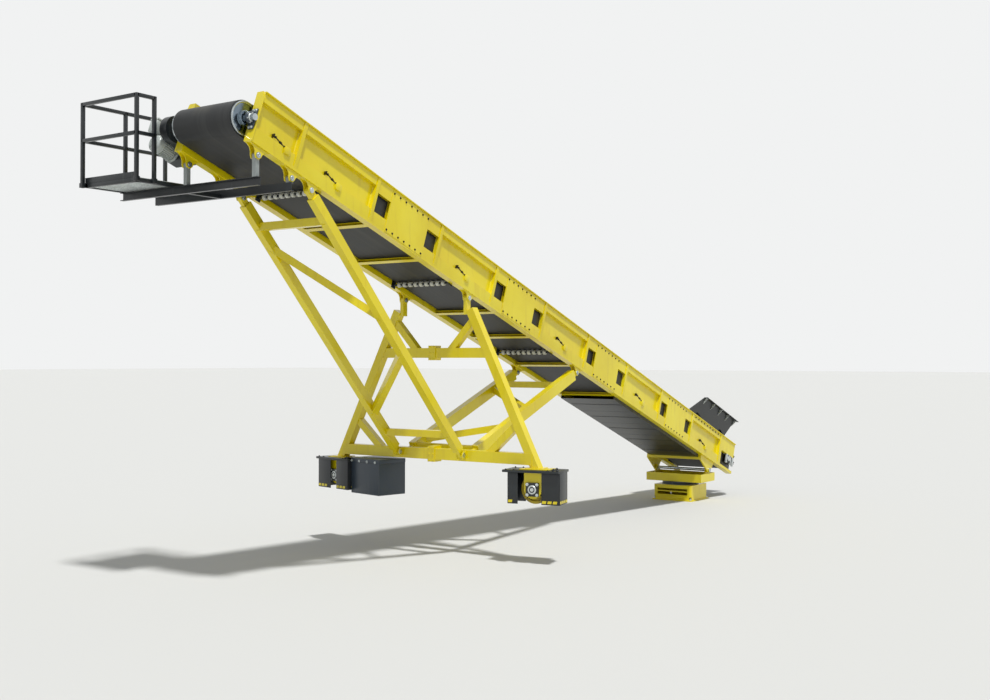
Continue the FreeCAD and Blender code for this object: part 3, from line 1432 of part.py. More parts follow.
plate_half = D.bearing_plate_width / 2
side_half = D.bearing_side / 2
hangers = []
bearings = []
for name, side in (("Outer", 1), ("Inner", -1)):
    near_x = D.bearing_plate_at * side
    far_x = (D.bearing_plate_at + D.bearing_plate) * side
    low_x, high_x = (near_x, far_x) if side > 0 else (far_x, near_x)
    straight = box(
        "Hanger%sStraight" % name, (low_x, high_x), (-plate_half, plate_half), (axle_height, plate_under)
    )
    rounded = rod("Hanger%sRound" % name, "X", plate_half, low_x, high_x, (0, axle_height))
    hole = rod("Hanger%sHole" % name, "X", D.axle_radius + 3, low_x - 1, high_x + 1, (0, axle_height))
    hangers.append(cut("Hanger%s" % name, fuse("Hanger%sWhole" % name, [straight, rounded]), hole))
    out_x = (D.bearing_plate_at + D.bearing_plate + D.bearing_depth) * side
    low_x, high_x = (far_x, out_x) if side > 0 else (out_x, far_x)
    z = (axle_height - side_half, axle_height + side_half)
    square = box("Bearing%sSquare" % name, (low_x, high_x), (-side_half, side_half), z)
    bore_span = (low_x - 1, high_x - 6) if side > 0 else (low_x + 6, high_x + 1)
    bore = rod("Bearing%sBore" % name, "X", D.axle_radius + D.fit, *bore_span, (0, axle_height))
    bearings.append(cut("Bearing%s" % name, square, bore))
node("wheel_hangers", both("Hangers", at_bogie(group("HangerSet", hangers))))
node("wheel_bearings", both("WheelBearings", at_bogie(group("BearingSet", bearings))))


def wheel(name):
    """A plain tread wheel with a dished web and its axle, turned about Y."""
    owner = body(name)
    radius, width = D.wheel_radius, D.wheel_width / 2
    hub = D.axle_radius + 38
    axle_end = D.bearing_plate_at + D.bearing_plate + D.bearing_depth - 9
    loop = [
        (0, -axle_end),
        (D.axle_radius, -axle_end),
        (D.axle_radius, -width - 12),
        (hub, -width - 12),
        (hub, -width * 0.4),
        (radius - 45, -width * 0.4),
        (radius - 38, -width),
        (radius - 6, -width),
        (radius, -width + 6),
        (radius, width - 6),
        (radius - 6, width),
        (radius - 38, width),
        (radius - 45, width * 0.4),
        (hub, width * 0.4),
        (hub, width + 12),
        (D.axle_radius, width + 12),
        (D.axle_radius, axle_end),
        (0, axle_end),
    ]
    turned(owner, name + "Turned", sketch_in(owner, name + "Section", "XY_Plane", [loop]))
    return owner


quarter = Size("90 deg", 90.0)
for name, label, side, angle in (
    ("NearWheel", "near_wheel", 1, quarter + yaw),
    ("FarWheel", "far_wheel", -1, quarter - yaw),
):
    made = wheel(name)
    move(made, D.trestle_x, D.leg_foot_y * side, axle_height, Rotation(Vector(0, 0, 1), angle.value))
    bind(made, "Placement.Rotation.Angle", angle)
    node(label, made)

plate_end = D.guard_offset + D.bogie_plate_half_length
box_start = plate_end - D.drive_lid
box_end = box_start + D.drive_box_length
box_x = (D.drive_box_outer - D.drive_box_width, D.drive_box_outer)
drive = box("DriveBox", box_x, (box_start, box_end), (D.drive_box_bottom, plate_under))
lid_edge = D.drive_lid_edge
lid_top = plate_top + D.drive_lid
lid = box("DriveLid", (box_x[0] - lid_edge, box_x[1] + lid_edge), (plate_end, box_end + lid_edge), (plate_under, lid_top))
node("travel_drive_box", at_far_bogie(group("DriveSet", [fuse("DriveWhole", [drive, lid])])))

# Platform

beam_top = D.platform_beam_top
beam_low = beam_top - D.platform_beam_depth
flange, thin = D.platform_beam_flange, D.platform_beam_plate
hangers = []
beams = []
BEAMS = (
    # name, hanger pin up the slope, beam's far end from the centre plane, flanges towards the head or tail
    ("Front", D.front_hanger_at, D.platform_far - D.front_beam_short, 1),
    ("Rear", D.rear_hanger_at, D.platform_far - D.rear_beam_short, -1),
)
for name, at, far_y, side in BEAMS:
    pin_x, pin_z = from_slope(at, -D.hanger_pin_drop)
    back_x = pin_x - flange / 2 * side
    loop = [
        (back_x, beam_low),
        (back_x + flange * side, beam_low),
        (back_x + flange * side, beam_low + thin),
        (back_x + thin * side, beam_low + thin),
        (back_x + thin * side, beam_top - thin),
        (back_x + flange * side, beam_top - thin),
        (back_x + flange * side, beam_top),
        (back_x, beam_top),
    ]
    beams.append(slab("PlatformBeam%s" % name, "XZ", loop, -far_y, go))
    half_post = D.hanger_section / 2
    post = box(
        "Hanger%sPost" % name,
        (pin_x - half_post, pin_x + half_post),
        (mid - tongue_half, mid + tongue_half),
        (beam_top, pin_z),
    )
    eye = rod("Hanger%sEye" % name, "Y", half_post + 4, mid - tongue_half, mid + tongue_half, (pin_x, pin_z))
    hole = rod("Hanger%sPin" % name, "Y", D.pin_radius, mid - D.tongue, mid + D.tongue, (pin_x, pin_z))
    whole = cut("Hanger%sWhole" % name, fuse("Hanger%sFuse" % name, [post, eye]), hole)
    hangers += [whole, mirror("Hanger%sFar" % name, whole)]
front_x = from_slope(D.front_hanger_at, -D.hanger_pin_drop)[0]
rear_x = from_slope(D.rear_hanger_at, -D.hanger_pin_drop)[0]
tie_x = (rear_x + flange / 2, front_x - flange / 2)
tie_y = (-D.platform_tie_y - D.platform_tie / 2, D.platform_tie / 2 - D.platform_tie_y)
beams.append(box("PlatformTie", tie_x, tie_y, (beam_low, beam_low + D.platform_tie)))
node("platform_beams", group("PlatformBeams", beams))
node("platform_hangers", group("PlatformHangers", hangers))

deck_x = (D.platform_tail, D.platform_head)
deck_y = (-D.platform_far, -D.platform_inner)
frame_w = D.deck_frame
deck_under = beam_top
deck_top = deck_under + D.deck_frame + D.deck_plate
rim_block = box("DeckRim", deck_x, deck_y, (deck_under, deck_top - D.deck_plate))
rim_inside = box(
    "DeckInside",
    (deck_x[0] + frame_w, deck_x[1] - frame_w),
    (deck_y[0] + frame_w, deck_y[1] - frame_w),
    (deck_under - 1, deck_top),
)
deck_sheet = box("DeckSheet", deck_x, deck_y, (deck_top - D.deck_plate, deck_top))
node("platform_deck", fuse("Deck", [cut("DeckFrame", rim_block, rim_inside), deck_sheet]))

toe_z = (deck_top, deck_top + D.toe_board - D.deck_frame)
sheet = D.toe_sheet
toe_outer = box("ToeOuter", deck_x, deck_y, toe_z)
toe_inner = box(
    "ToeInner", (deck_x[0] + sheet, deck_x[1] - sheet), (deck_y[0] + sheet, deck_y[1] + 1), (deck_top - 1, toe_z[1] + 1)
)
node("platform_toe_boards", cut("ToeBoards", toe_outer, toe_inner))

tube = D.rail_section
half_tube = tube / 2
head_x = deck_x[1] + half_tube
outer_y = deck_y[0] - half_tube
inner_y = deck_y[1] + half_tube
RAIL_POSTS = (
    # X and Y of each post
    (head_x - D.rail_return, inner_y),
    (head_x, inner_y),
    (head_x, outer_y),
    ((deck_x[0] + deck_x[1]) / 2, outer_y),
    (deck_x[0] - half_tube, outer_y),
    (deck_x[0] - half_tube, inner_y),
)
rail_parts = []
rail_top = beam_top + D.rail_height
for number, (x, y) in enumerate(RAIL_POSTS):
    x_span, y_span = (x - half_tube, x + half_tube), (y - half_tube, y + half_tube)
    rail_parts.append(box("RailPost%d" % number, x_span, y_span, (beam_top, rail_top)))
for height, tag in ((rail_top, "Top"), (beam_top + D.mid_rail_height, "Mid")):
    z = (height - tube, height)
    for number, ((x0, y0), (x1, y1)) in enumerate(zip(RAIL_POSTS, RAIL_POSTS[1:])):
        name = "Rail%s%d" % (tag, number)
        if abs(float(x0) - float(x1)) > 1:
            low, high = (x0, x1) if float(x0) < float(x1) else (x1, x0)
            rail_parts.append(box(name, (low, high), (y0 - half_tube, y0 + half_tube), z))
        else:
            low, high = (y0, y1) if float(y0) < float(y1) else (y1, y0)
            rail_parts.append(box(name, (x0 - half_tube, x0 + half_tube), (low, high), z))
node("platform_handrails", fuse("Handrails", rail_parts))

# Checks and export

doc.recompute()

faults = []
for thing in doc.Objects:
    if "Invalid" in thing.State or "Error" in thing.State:
        faults.append("%s (%s): %s" % (thing.Name, thing.Label, thing.State))
    if thing.TypeId in ("PartDesign::Pocket", "PartDesign::Groove"):
        before = thing.BaseFeature.Shape.Volume
        if not thing.Shape.Volume < before - 1:
            faults.append("%s cuts nothing" % thing.Name)
for name, thing in nodes.items():
    shape = thing.Shape
    if shape.isNull() or not shape.isValid() or not shape.Solids:
        faults.append("%s has no valid shape" % name)
if faults:
    raise RuntimeError("; ".join(faults))

os.makedirs("parts", exist_ok=True)
for name, thing in nodes.items():
    thing.Shape.exportStep(os.path.join("parts", name + ".step"))
    print("%-24s %2d solids %12.0f mm3" % (name, len(thing.Shape.Solids), thing.Shape.Volume))
print("%d sub-parts" % len(nodes))
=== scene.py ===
"""Radial stacker conveyor: finishes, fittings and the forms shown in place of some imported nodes."""

import json
import logging
import math
from dataclasses import dataclass
from enum import Enum
from itertools import product
from typing import Any, Iterable, Mapping, Sequence

import bmesh
import bpy
from mathutils import Matrix, Vector

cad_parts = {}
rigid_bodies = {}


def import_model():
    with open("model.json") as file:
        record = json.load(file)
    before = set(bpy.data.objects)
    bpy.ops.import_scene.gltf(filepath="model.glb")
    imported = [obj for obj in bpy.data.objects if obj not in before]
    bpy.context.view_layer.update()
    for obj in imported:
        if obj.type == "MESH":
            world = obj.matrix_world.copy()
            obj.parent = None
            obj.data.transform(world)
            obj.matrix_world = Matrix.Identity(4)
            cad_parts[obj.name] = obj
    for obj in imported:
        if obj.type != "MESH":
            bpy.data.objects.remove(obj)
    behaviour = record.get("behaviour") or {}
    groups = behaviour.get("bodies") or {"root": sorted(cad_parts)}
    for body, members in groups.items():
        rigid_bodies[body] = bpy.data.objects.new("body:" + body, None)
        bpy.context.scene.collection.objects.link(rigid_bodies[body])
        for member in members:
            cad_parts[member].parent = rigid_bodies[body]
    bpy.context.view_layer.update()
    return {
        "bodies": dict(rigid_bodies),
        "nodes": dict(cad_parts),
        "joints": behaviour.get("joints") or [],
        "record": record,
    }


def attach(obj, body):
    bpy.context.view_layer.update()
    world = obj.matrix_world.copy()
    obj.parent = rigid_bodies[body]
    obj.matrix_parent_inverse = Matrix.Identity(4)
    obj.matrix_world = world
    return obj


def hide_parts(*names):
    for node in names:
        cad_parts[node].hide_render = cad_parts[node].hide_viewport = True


LOG = logging.getLogger("stacker")
MM = 0.001
SMOOTH_BELOW = math.radians(35)
WELD_WITHIN = 0.00002
RELIEF_DEPTH = 0.002
COAT_ROUGHNESS = 0.12

# A box is its spans along X, Y and Z, an outline its corners in their order, and a row its first number, its pitch and
# how many there are.
Point = tuple[float, float, float]
Span = tuple[float, float]
Box = tuple[Span, Span, Span]
Outline = tuple[Span, ...]
Row = tuple[float, float, int]


# Finishes


def linear(colour: str) -> tuple[float, float, float, float]:
    """Turns an sRGB hex colour to linear.

    Args:
        colour: six hex digits with a leading hash.

    Returns:
        Red, green, blue and an alpha of 1.
    """
    parts = []
    for start in (1, 3, 5):
        level = int(colour[start : start + 2], 16) / 255
        parts.append(level / 12.92 if level <= 0.04045 else ((level + 0.055) / 1.055) ** 2.4)
    return parts[0], parts[1], parts[2], 1.0


def add_node(
    tree: bpy.types.NodeTree,
    kind: str,
    settings: Mapping[str, Any] | None = None,
    sockets: Mapping[Any, Any] | None = None,
) -> bpy.types.Node:
    """Adds a node to a tree.

    Args:
        tree: the tree.
        kind: the node's type name.
        settings: the node's own properties.
        sockets: input sockets, each with its value or with the output that feeds it.

    Returns:
        The node.
    """
    made = tree.nodes.new(kind)
    for key, value in (settings or {}).items():
        setattr(made, key, value)
    for key, value in (sockets or {}).items():
        if isinstance(value, bpy.types.NodeSocket):
            tree.links.new(value, made.inputs[key])
        else:
            made.inputs[key].default_value = value
    return made


class Lie(Enum):
    """Where a layer lies on a piece; the two numbers are the face's upward lean where it starts and is full."""

    ALL_OVER = None
    ON_TOP = (0.2, 0.85)


@dataclass(frozen=True)
class Layer:
    """One thing over a base tone, such as dust, fading or chips; it comes in where its noise passes low to high."""

    tone: str
    size: float
    low: float
    high: float
    amount: float = 1.0
    stretch: Point = (1.0, 1.0, 1.0)
    detail: float = 4.0
    lie: Lie = Lie.ALL_OVER


@dataclass(frozen=True)
class Finish:
    """A surface: a base tone with layers over it, a spread of roughness and a fine relief. Sizes in millimetres."""

    name: str
    slot: str
    tone: str
    layers: tuple[Layer, ...]
    roughness: Span
    metallic: float = 0.0
    coat: float = 0.0
    grain: float = 4.0
    grain_stretch: Point = (1.0, 1.0, 1.0)
    relief: float = 0.05

    def material(self) -> bpy.types.Material:
        """Gives the material, made the first time.

        Returns:
            The material.
        """
        found = bpy.data.materials.get(self.name)
        if found:
            return found
        made = bpy.data.materials.new(self.name)
        made.use_nodes = True
        tree = made.node_tree
        tree.nodes.clear()
        where = add_node(tree, "ShaderNodeTexCoord").outputs["Object"]
        facing = add_node(tree, "ShaderNodeNewGeometry").outputs["Normal"]
        upward = add_node(tree, "ShaderNodeSeparateXYZ", sockets={0: facing}).outputs["Z"]
        colour: Any = linear(self.tone)
        cover: Any = 0.0
        for layer in self.layers:
            cloud = self._noise(tree, where, layer.size, layer.stretch, layer.detail)
            reach = {"Value": cloud, "From Min": layer.low, "From Max": layer.high, "To Max": layer.amount}
            cover = add_node(tree, "ShaderNodeMapRange", sockets=reach).outputs["Result"]
            if layer.lie.value:
                start, full = layer.lie.value
                reach = {"Value": upward, "From Min": start, "From Max": full}
                lying = add_node(tree, "ShaderNodeMapRange", sockets=reach).outputs["Result"]
                both = {0: cover, 1: lying}
                cover = add_node(tree, "ShaderNodeMath", {"operation": "MULTIPLY"}, both).outputs[0]
            mixed = {0: cover, 6: colour, 7: linear(layer.tone)}
            colour = add_node(tree, "ShaderNodeMix", {"data_type": "RGBA"}, mixed).outputs[2]
        smooth, rough = self.roughness
        spread = add_node(tree, "ShaderNodeMapRange", sockets={"Value": cover, "To Min": smooth, "To Max": rough})
        fine = self._noise(tree, where, self.grain, self.grain_stretch, 2.0)
        relief = {"Height": fine, "Strength": self.relief, "Distance": RELIEF_DEPTH}
        bump = add_node(tree, "ShaderNodeBump", sockets=relief)
        shader = add_node(
            tree,
            "ShaderNodeBsdfPrincipled",
            sockets={
                "Base Color": colour,
                "Roughness": spread.outputs["Result"],
                "Normal": bump.outputs["Normal"],
                "Metallic": self.metallic,
                "Coat Weight": self.coat,
                "Coat Roughness": COAT_ROUGHNESS,
            },
        )
        add_node(tree, "ShaderNodeOutputMaterial", sockets={"Surface": shader.outputs["BSDF"]})
        return made

    def _noise(
        self, tree: bpy.types.NodeTree, where: bpy.types.NodeSocket, size: float, stretch: Point, detail: float
    ) -> bpy.types.NodeSocket:
        """Adds a noise.

        Args:
            tree: the material's tree.
            where: the place on the piece.
            size: the noise's size in millimetres.
            stretch: how much closer it lies along each axis.
            detail: its detail.

        Returns:
            Its strength.
        """
        scale = tuple(part * 1000 / size for part in stretch)
        at = add_node(tree, "ShaderNodeMapping", sockets={"Vector": where, "Scale": scale})
        sockets = {"Vector": at.outputs[0], "Scale": 1.0, "Detail": detail}
        return add_node(tree, "ShaderNodeTexNoise", sockets=sockets).outputs["Fac"]


# Sprayed two-pack machine enamel in lemon yellow over a zinc primer: clear and glossy, sun-bleached in broad clouds,
# with a dun film of dust on what faces up, thin runs down upright faces and a few rust-brown chips.
YELLOW = Finish(
    "lemon_yellow_machine_enamel", "yellow_paint", "#ECDA00",
    (
        Layer("#D9C300", 1400, 0.35, 0.68, 0.8),
        Layer("#F1E848", 900, 0.52, 0.74, 0.3),
        Layer("#BF9F22", 260, 0.55, 0.78, 0.3, (3, 3, 0.35), 6),
        Layer("#D3C474", 330, 0.42, 0.75, 0.45, detail=6, lie=Lie.ON_TOP),
        Layer("#5B3D1E", 42, 0.765, 0.79, 0.9, detail=8),
    ),
    (0.30, 0.55), coat=0.3, grain=6,
)
# Satin black machine enamel on guards and rails: nearly black, greyed by settled dust and rubbed on its faces.
BLACK = Finish(
    "satin_black_machine_enamel", "black_paint", "#161A1D",
    (
        Layer("#20272A", 700, 0.38, 0.66, 0.7),
        Layer("#4C524D", 300, 0.45, 0.8, 0.5, detail=6, lie=Lie.ON_TOP),
        Layer("#4A4F4C", 180, 0.6, 0.8, 0.4, (2.5, 2.5, 0.4), 6),
    ),
    (0.38, 0.62), coat=0.1, grain=6, relief=0.06,
)
# Powder-coated sheet steel of the drive's housing: flat slate blue with fine orange peel and a dusty lid.
SLATE = Finish(
    "slate_blue_powder_coat", "slate_paint", "#343F4A",
    (
        Layer("#2B3540", 800, 0.4, 0.66, 0.7),
        Layer("#6D7778", 350, 0.4, 0.78, 0.6, detail=6, lie=Lie.ON_TOP),
        Layer("#50585A", 150, 0.62, 0.82, 0.4, (2.5, 2.5, 0.4), 6),
    ),
    (0.36, 0.58), grain=7, relief=0.08,
)
# Brushed enamel on cast iron: the sand-cast skin shows through as a pebbled grey.
GREY = Finish(
    "grey_enamel_on_cast_iron", "grey_paint", "#9BA19F",
    (
        Layer("#838A89", 240, 0.4, 0.66, 0.8),
        Layer("#8D8872", 160, 0.5, 0.76, 0.4, detail=6, lie=Lie.ON_TOP),
        Layer("#4A4640", 60, 0.68, 0.8, 0.6, detail=6),
    ),
    (0.42, 0.60), grain=10, relief=0.3,
)
# The same enamel in light grey on the motor's finned aluminium and its sheet cowl: clean and slightly glossy.
PALE_GREY = Finish(
    "light_grey_motor_enamel", "grey_paint", "#C4CAC6",
    (
        Layer("#AEB5B1", 240, 0.4, 0.66, 0.8),
        Layer("#8D8872", 160, 0.55, 0.8, 0.4, detail=6, lie=Lie.ON_TOP),
    ),
    (0.32, 0.52), coat=0.2, grain=8, relief=0.1,
)
# Yellow enamel of the travelling wheels under track grime: browned, dull, rubbed back to yellow in places.
GRIMY_YELLOW = Finish(
    "yellow_enamel_under_track_grime", "yellow_paint", "#C3AE14",
    (
        Layer("#8E7A22", 160, 0.4, 0.64, 0.8, detail=6),
        Layer("#4C3F22", 70, 0.55, 0.75, 0.6, detail=6),
    ),
    (0.45, 0.7), grain=8, relief=0.1,
)
# Turned mild steel kept bright by use: lathe rings round it and a film of oil in patches.
BRIGHT = Finish(
    "turned_bright_mild_steel", "bare_steel", "#C9D0D2",
    (
        Layer("#A6AEB1", 120, 0.4, 0.66, 0.8),
        Layer("#7E7768", 90, 0.6, 0.78, 0.5, detail=6),
    ),
    (0.24, 0.42), metallic=1, grain=3, grain_stretch=(1, 6, 1), relief=0.06,
)
# Ground steel of the pulleys' end discs: mirror-like; its blue-grey tone and the darker blue-grey clouds are a painted
# reflection of the sky and the dark below.
POLISHED = Finish(
    "ground_steel_end_disc", "bare_steel", "#8E9CA8",
    (
        # darker blue-grey clouds: painted reflection of the dark below
        Layer("#56636F", 220, 0.36, 0.62, 0.85),
        Layer("#7E7768", 90, 0.62, 0.8, 0.4, detail=6),
    ),
    (0.16, 0.34), metallic=1, grain=3, relief=0.04,
)
# Hot-dip zinc: pale spangle some 25 mm across, drawn as clouds of that size, dull where it has weathered.
ZINC = Finish(
    "hot_dip_galvanised_steel", "galvanised", "#D3D8D6",
    (
        Layer("#BAC1C1", 25, 0.42, 0.6, 0.9, detail=1),
        Layer("#8F8C7E", 200, 0.55, 0.8, 0.4, detail=6),
    ),
    (0.34, 0.5), metallic=0.35, grain=14, relief=0.08,
)
# Oil-blackened steel of bolts and threaded rods: dark brown-black with a little grease shine.
BLACKENED = Finish(
    "oil_blackened_steel", "black_paint", "#26241F",
    (
        Layer("#3A342A", 30, 0.4, 0.66, 0.8),
        Layer("#6B4A2C", 18, 0.66, 0.8, 0.6, detail=6),
    ),
    (0.35, 0.55), metallic=0.7, grain=3, relief=0.08,
)
# Moulded natural-rubber discs of the return rollers: pale grey, the paleness partly a painted highlight of their lit
# faces; chalked, darker where the belt runs on them.
PALE_RUBBER = Finish(
    "moulded_pale_rubber", "pale_rubber", "#D3D4CC",
    (
        Layer("#B9BAB1", 90, 0.4, 0.66, 0.8),
        Layer("#7F7E76", 50, 0.6, 0.8, 0.5, detail=6),
    ),
    (0.6, 0.8), relief=0.08,
)
# Calendered belting: matt near-black rubber, scuffed paler in streaks along the run by the ore it carries.
BELTING = Finish(
    "calendered_rubber_belting", "belt_rubber", "#141617",
    (
        Layer("#1E2021", 900, 0.38, 0.66, 0.8, (0.4, 1, 0.4)),
        Layer("#3E3F3D", 240, 0.5, 0.8, 0.45, (0.12, 3, 0.12), 6),
        Layer("#6E6857", 500, 0.5, 0.75, 0.35, detail=6, lie=Lie.ON_TOP),
    ),
    (0.5, 0.75), grain=5, grain_stretch=(0.4, 1, 0.4), relief=0.08,
)

NODE_FINISHES: dict[Finish, Sequence[str]] = {
    GREY: ("platform_hangers", "head_bearings"),
    SLATE: ("travel_drive_box", "slew_ring_fixed", "slew_ring_turning"),
    PALE_GREY: ("drive_motor", "drive_fan_cowl"),
    BRIGHT: ("hinge_shaft", "girder_fork_pins", "head_pulley", "tail_pulley"),
    BLACK: (
        "carry_idler_frames", "carry_idler_rollers", "return_idler_brackets", "belly_pans", "feed_hopper",
        "bogie_plates", "wheel_guard_near", "wheel_guard_far", "platform_beams",
        "platform_deck", "platform_toe_boards", "platform_handrails", "drive_gearbox", "wheel_bearings",
        "tail_takeup",
    ),
    BELTING: ("belt",),
    PALE_RUBBER: ("return_idlers",),
    GRIMY_YELLOW: ("near_wheel", "far_wheel"),
}


def dress_nodes(nodes: Mapping[str, bpy.types.Object]) -> None:
    """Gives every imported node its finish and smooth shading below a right-angle edge; unlisted nodes are yellow.

    Args:
        nodes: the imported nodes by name.
    """
    chosen = {name: finish for finish, names in NODE_FINISHES.items() for name in names}
    for name, thing in nodes.items():
        thing.data.materials.clear()
        thing.data.materials.append(chosen.get(name, YELLOW).material())
        thing.data.shade_smooth()
        weld = thing.modifiers.new("weld", "WELD")
        weld.merge_threshold = WELD_WITHIN
        split = thing.modifiers.new("crisp_edges", "EDGE_SPLIT")
        split.split_angle = SMOOTH_BELOW


# Shapes


class Facing(Enum):
    """Which way a fitting's own Z axis points in its sub-assembly's frame."""

    HEAD = (1, 0, 0)
    TAIL = (-1, 0, 0)
    NEAR = (0, 1, 0)
    FAR = (0, -1, 0)
    UP = (0, 0, 1)

    @property
    def turn(self) -> Matrix:
        """The turn that brings Z to this way."""
        return Vector((0, 0, 1)).rotation_difference(Vector(self.value)).to_matrix().to_4x4()

    @property
    def way(self) -> int:
        """The sign along its axis."""
        return sum(self.value)


class Plane(Enum):
    """The plane an outline is drawn in: the axes of its first number, its second number and its thickness."""

    SIDE = (0, 2, 1)
    END = (1, 2, 0)
    TOP = (0, 1, 2)

    def point(self, first: float, second: float, third: float) -> Vector:
        """Gives a point from its numbers in this plane.

        Args:
            first: along the plane's first axis.
            second: along its second axis.
            third: along its thickness.

        Returns:
            The point.
        """
        made = Vector((0.0, 0.0, 0.0))
        for axis, amount in zip(self.value, (first, second, third)):
            made[axis] = amount
        return made


class Side(Enum):
    """The machine's two sides."""

    NEAR = 1
    FAR = -1


class Form:
    """A mesh in the making, in millimetres in its sub-assembly's frame."""

    def __init__(self) -> None:
        """Starts empty."""
        self.bm = bmesh.new()

    def _soften(self, verts: Iterable[bmesh.types.BMVert], edge: float) -> None:
        """Rounds the edges at some vertices.

        Args:
            verts: the vertices.
            edge: the round's width; at 0 the edges stay sharp.
        """
        if edge > 0:
            edges = list(dict.fromkeys(e for v in verts for e in v.link_edges))
            bmesh.ops.bevel(
                self.bm, geom=edges, offset=edge, offset_type="OFFSET", segments=2, profile=0.5, affect="EDGES",
                material=-1,
            )

    def block(self, x: Span, y: Span, z: Span, edge: float = 0.0, at: Point | Vector = (0.0, 0.0, 0.0)) -> None:
        """Adds a bar or plate.

        Args:
            x: its two ends along X.
            y: its two ends along Y.
            z: its two ends along Z.
            edge: width of its rounded edges.
            at: where those ends are counted from.
        """
        made = bmesh.ops.create_cube(self.bm, size=1.0)["verts"]
        middle = Vector((sum(x) / 2, sum(y) / 2, sum(z) / 2)) + Vector(at)
        spans = (x[1] - x[0], y[1] - y[0], z[1] - z[0], 1.0)
        bmesh.ops.transform(self.bm, matrix=Matrix.Translation(middle) @ Matrix.Diagonal(spans), verts=made)
        self._soften(made, edge)

    def disc(
        self, at: Point | Vector, facing: Facing, radius: float, depth: float, sides: int, top: float | None = None,
        turn: float = 0.0,
    ) -> None:
        """Adds a round or many-sided boss standing on a point.

        Args:
            at: the middle of its foot.
            facing: where it stands up to.
            radius: its foot's radius.
            depth: its height.
            sides: flats round it.
            top: its top's radius if that differs.
            turn: its turn about its own axis.
        """
        made = bmesh.ops.create_cone(
            self.bm, cap_ends=True, segments=sides, radius1=radius, radius2=radius if top is None else top, depth=depth
        )["verts"]
        place = Matrix.Translation(Vector(at)) @ facing.turn @ Matrix.Rotation(turn, 4, "Z")
        bmesh.ops.transform(self.bm, matrix=place @ Matrix.Translation((0, 0, depth / 2)), verts=made)

    def turned(self, at: Point, facing: Facing, section: Sequence[Span], steps: int = 40) -> None:
        """Adds a lathe-turned shape.

        Args:
            at: the origin of its section.
            facing: where its axis points.
            section: closed outline, each point a radius and a height along the axis.
            steps: faces round it.
        """
        verts = [self.bm.verts.new((radius, 0.0, height)) for radius, height in section]
        edges = [self.bm.edges.new(pair) for pair in zip(verts, verts[1:] + verts[:1])]
        before = set(self.bm.verts) - set(verts)
        bmesh.ops.spin(
            self.bm, geom=verts + edges, cent=(0, 0, 0), axis=(0, 0, 1), angle=math.tau, steps=steps, use_merge=True
        )
        made = [v for v in self.bm.verts if v not in before]
        bmesh.ops.remove_doubles(self.bm, verts=made, dist=0.001)
        made = [v for v in self.bm.verts if v not in before]
        bmesh.ops.transform(self.bm, matrix=Matrix.Translation(Vector(at)) @ facing.turn, verts=made)

    def plate(self, outline: Sequence[Span], plane: Plane, low: float, high: float, edge: float = 0.0) -> None:
        """Adds a plate of a given outline.

        Args:
            outline: its corners in the plane.
            plane: the plane.
            low: where its thickness starts.
            high: where its thickness ends.
            edge: width of its rounded edges.
        """
        verts = [self.bm.verts.new(plane.point(a, b, low)) for a, b in outline]
        face = self.bm.faces.new(verts)
        raised = bmesh.ops.extrude_face_region(self.bm, geom=[face])["geom"]
        lifted = [item for item in raised if isinstance(item, bmesh.types.BMVert)]
        bmesh.ops.translate(self.bm, verts=lifted, vec=plane.point(0, 0, high - low))
        self._soften(verts + lifted, edge)

    def rod(self, start: Vector, end: Vector, radius: float, sides: int = 12) -> None:
        """Adds a round rod between two points.

        Args:
            start: one end's middle.
            end: the other end's middle.
            radius: its radius.
            sides: flats round it.
        """
        run = end - start
        made = bmesh.ops.create_cone(
            self.bm, cap_ends=True, segments=sides, radius1=radius, radius2=radius, depth=run.length
        )["verts"]
        turn = Vector((0, 0, 1)).rotation_difference(run).to_matrix().to_4x4()
        middle = (start + end) / 2
        bmesh.ops.transform(self.bm, matrix=Matrix.Translation(middle) @ turn, verts=made)

    def nipple(self, at: Point | Vector, facing: Facing, length: float) -> None:
        """Adds a grease nipple on a hexagon.

        Args:
            at: where the hexagon stands.
            facing: where the nipple points.
            length: its length beyond the hexagon.
        """
        hexagon = 10.0
        self.disc(at, facing, 9.0, hexagon, 6)
        self.disc(Vector(at) + Vector(facing.value) * hexagon, facing, 6.0, length, 10, top=3.0)

    def bolts(self, places: Iterable[Point | Vector], facing: Facing, width: float) -> None:
        """Adds hexagon heads on washers, in standard proportions, each turned a little differently.

        Args:
            places: where the washers lie.
            facing: where the heads point.
            width: across a head's flats.
        """
        for number, at in enumerate(places):
            washer = width * 0.12
            self.disc(at, facing, width * 0.95, washer, 12)
            over = Vector(at) + Vector(facing.value) * washer
            self.disc(over, facing, width * 0.577, width * 0.6, 6, top=width * 0.52, turn=number * 0.7)

    def both_sides(self) -> None:
        """Adds the mirror image across the machine's centre plane."""
        everything = self.bm.verts[:] + self.bm.edges[:] + self.bm.faces[:]
        bmesh.ops.mirror(self.bm, geom=everything, matrix=Matrix.Identity(4), merge_dist=-1.0, axis="Y")


def ring_of(count: int, radius: float, at: Point, plane: Plane, start: float = 0.0) -> list[Vector]:
    """Gives points evenly round a circle.

    Args:
        count: how many.
        radius: the circle's radius.
        at: its middle.
        plane: the plane it lies in.
        start: angle of the first point.

    Returns:
        The points.
    """
    angles = [start + math.tau * number / count for number in range(count)]
    return [Vector(at) + plane.point(radius * math.cos(angle), radius * math.sin(angle), 0.0) for angle in angles]


def spaced(first: float, pitch: float, count: int) -> list[float]:
    """The numbers of a row: the first, and more at a pitch."""
    return [first + pitch * number for number in range(count)]


def ordered(one: float, other: float) -> Span:
    """The span between two numbers."""
    return min(one, other), max(one, other)


def both_ends(span: Span, width: float) -> tuple[Span, Span]:
    """The two spans of a width at a span's ends."""
    return (span[0], span[0] + width), (span[1] - width, span[1])


# Sub-assemblies


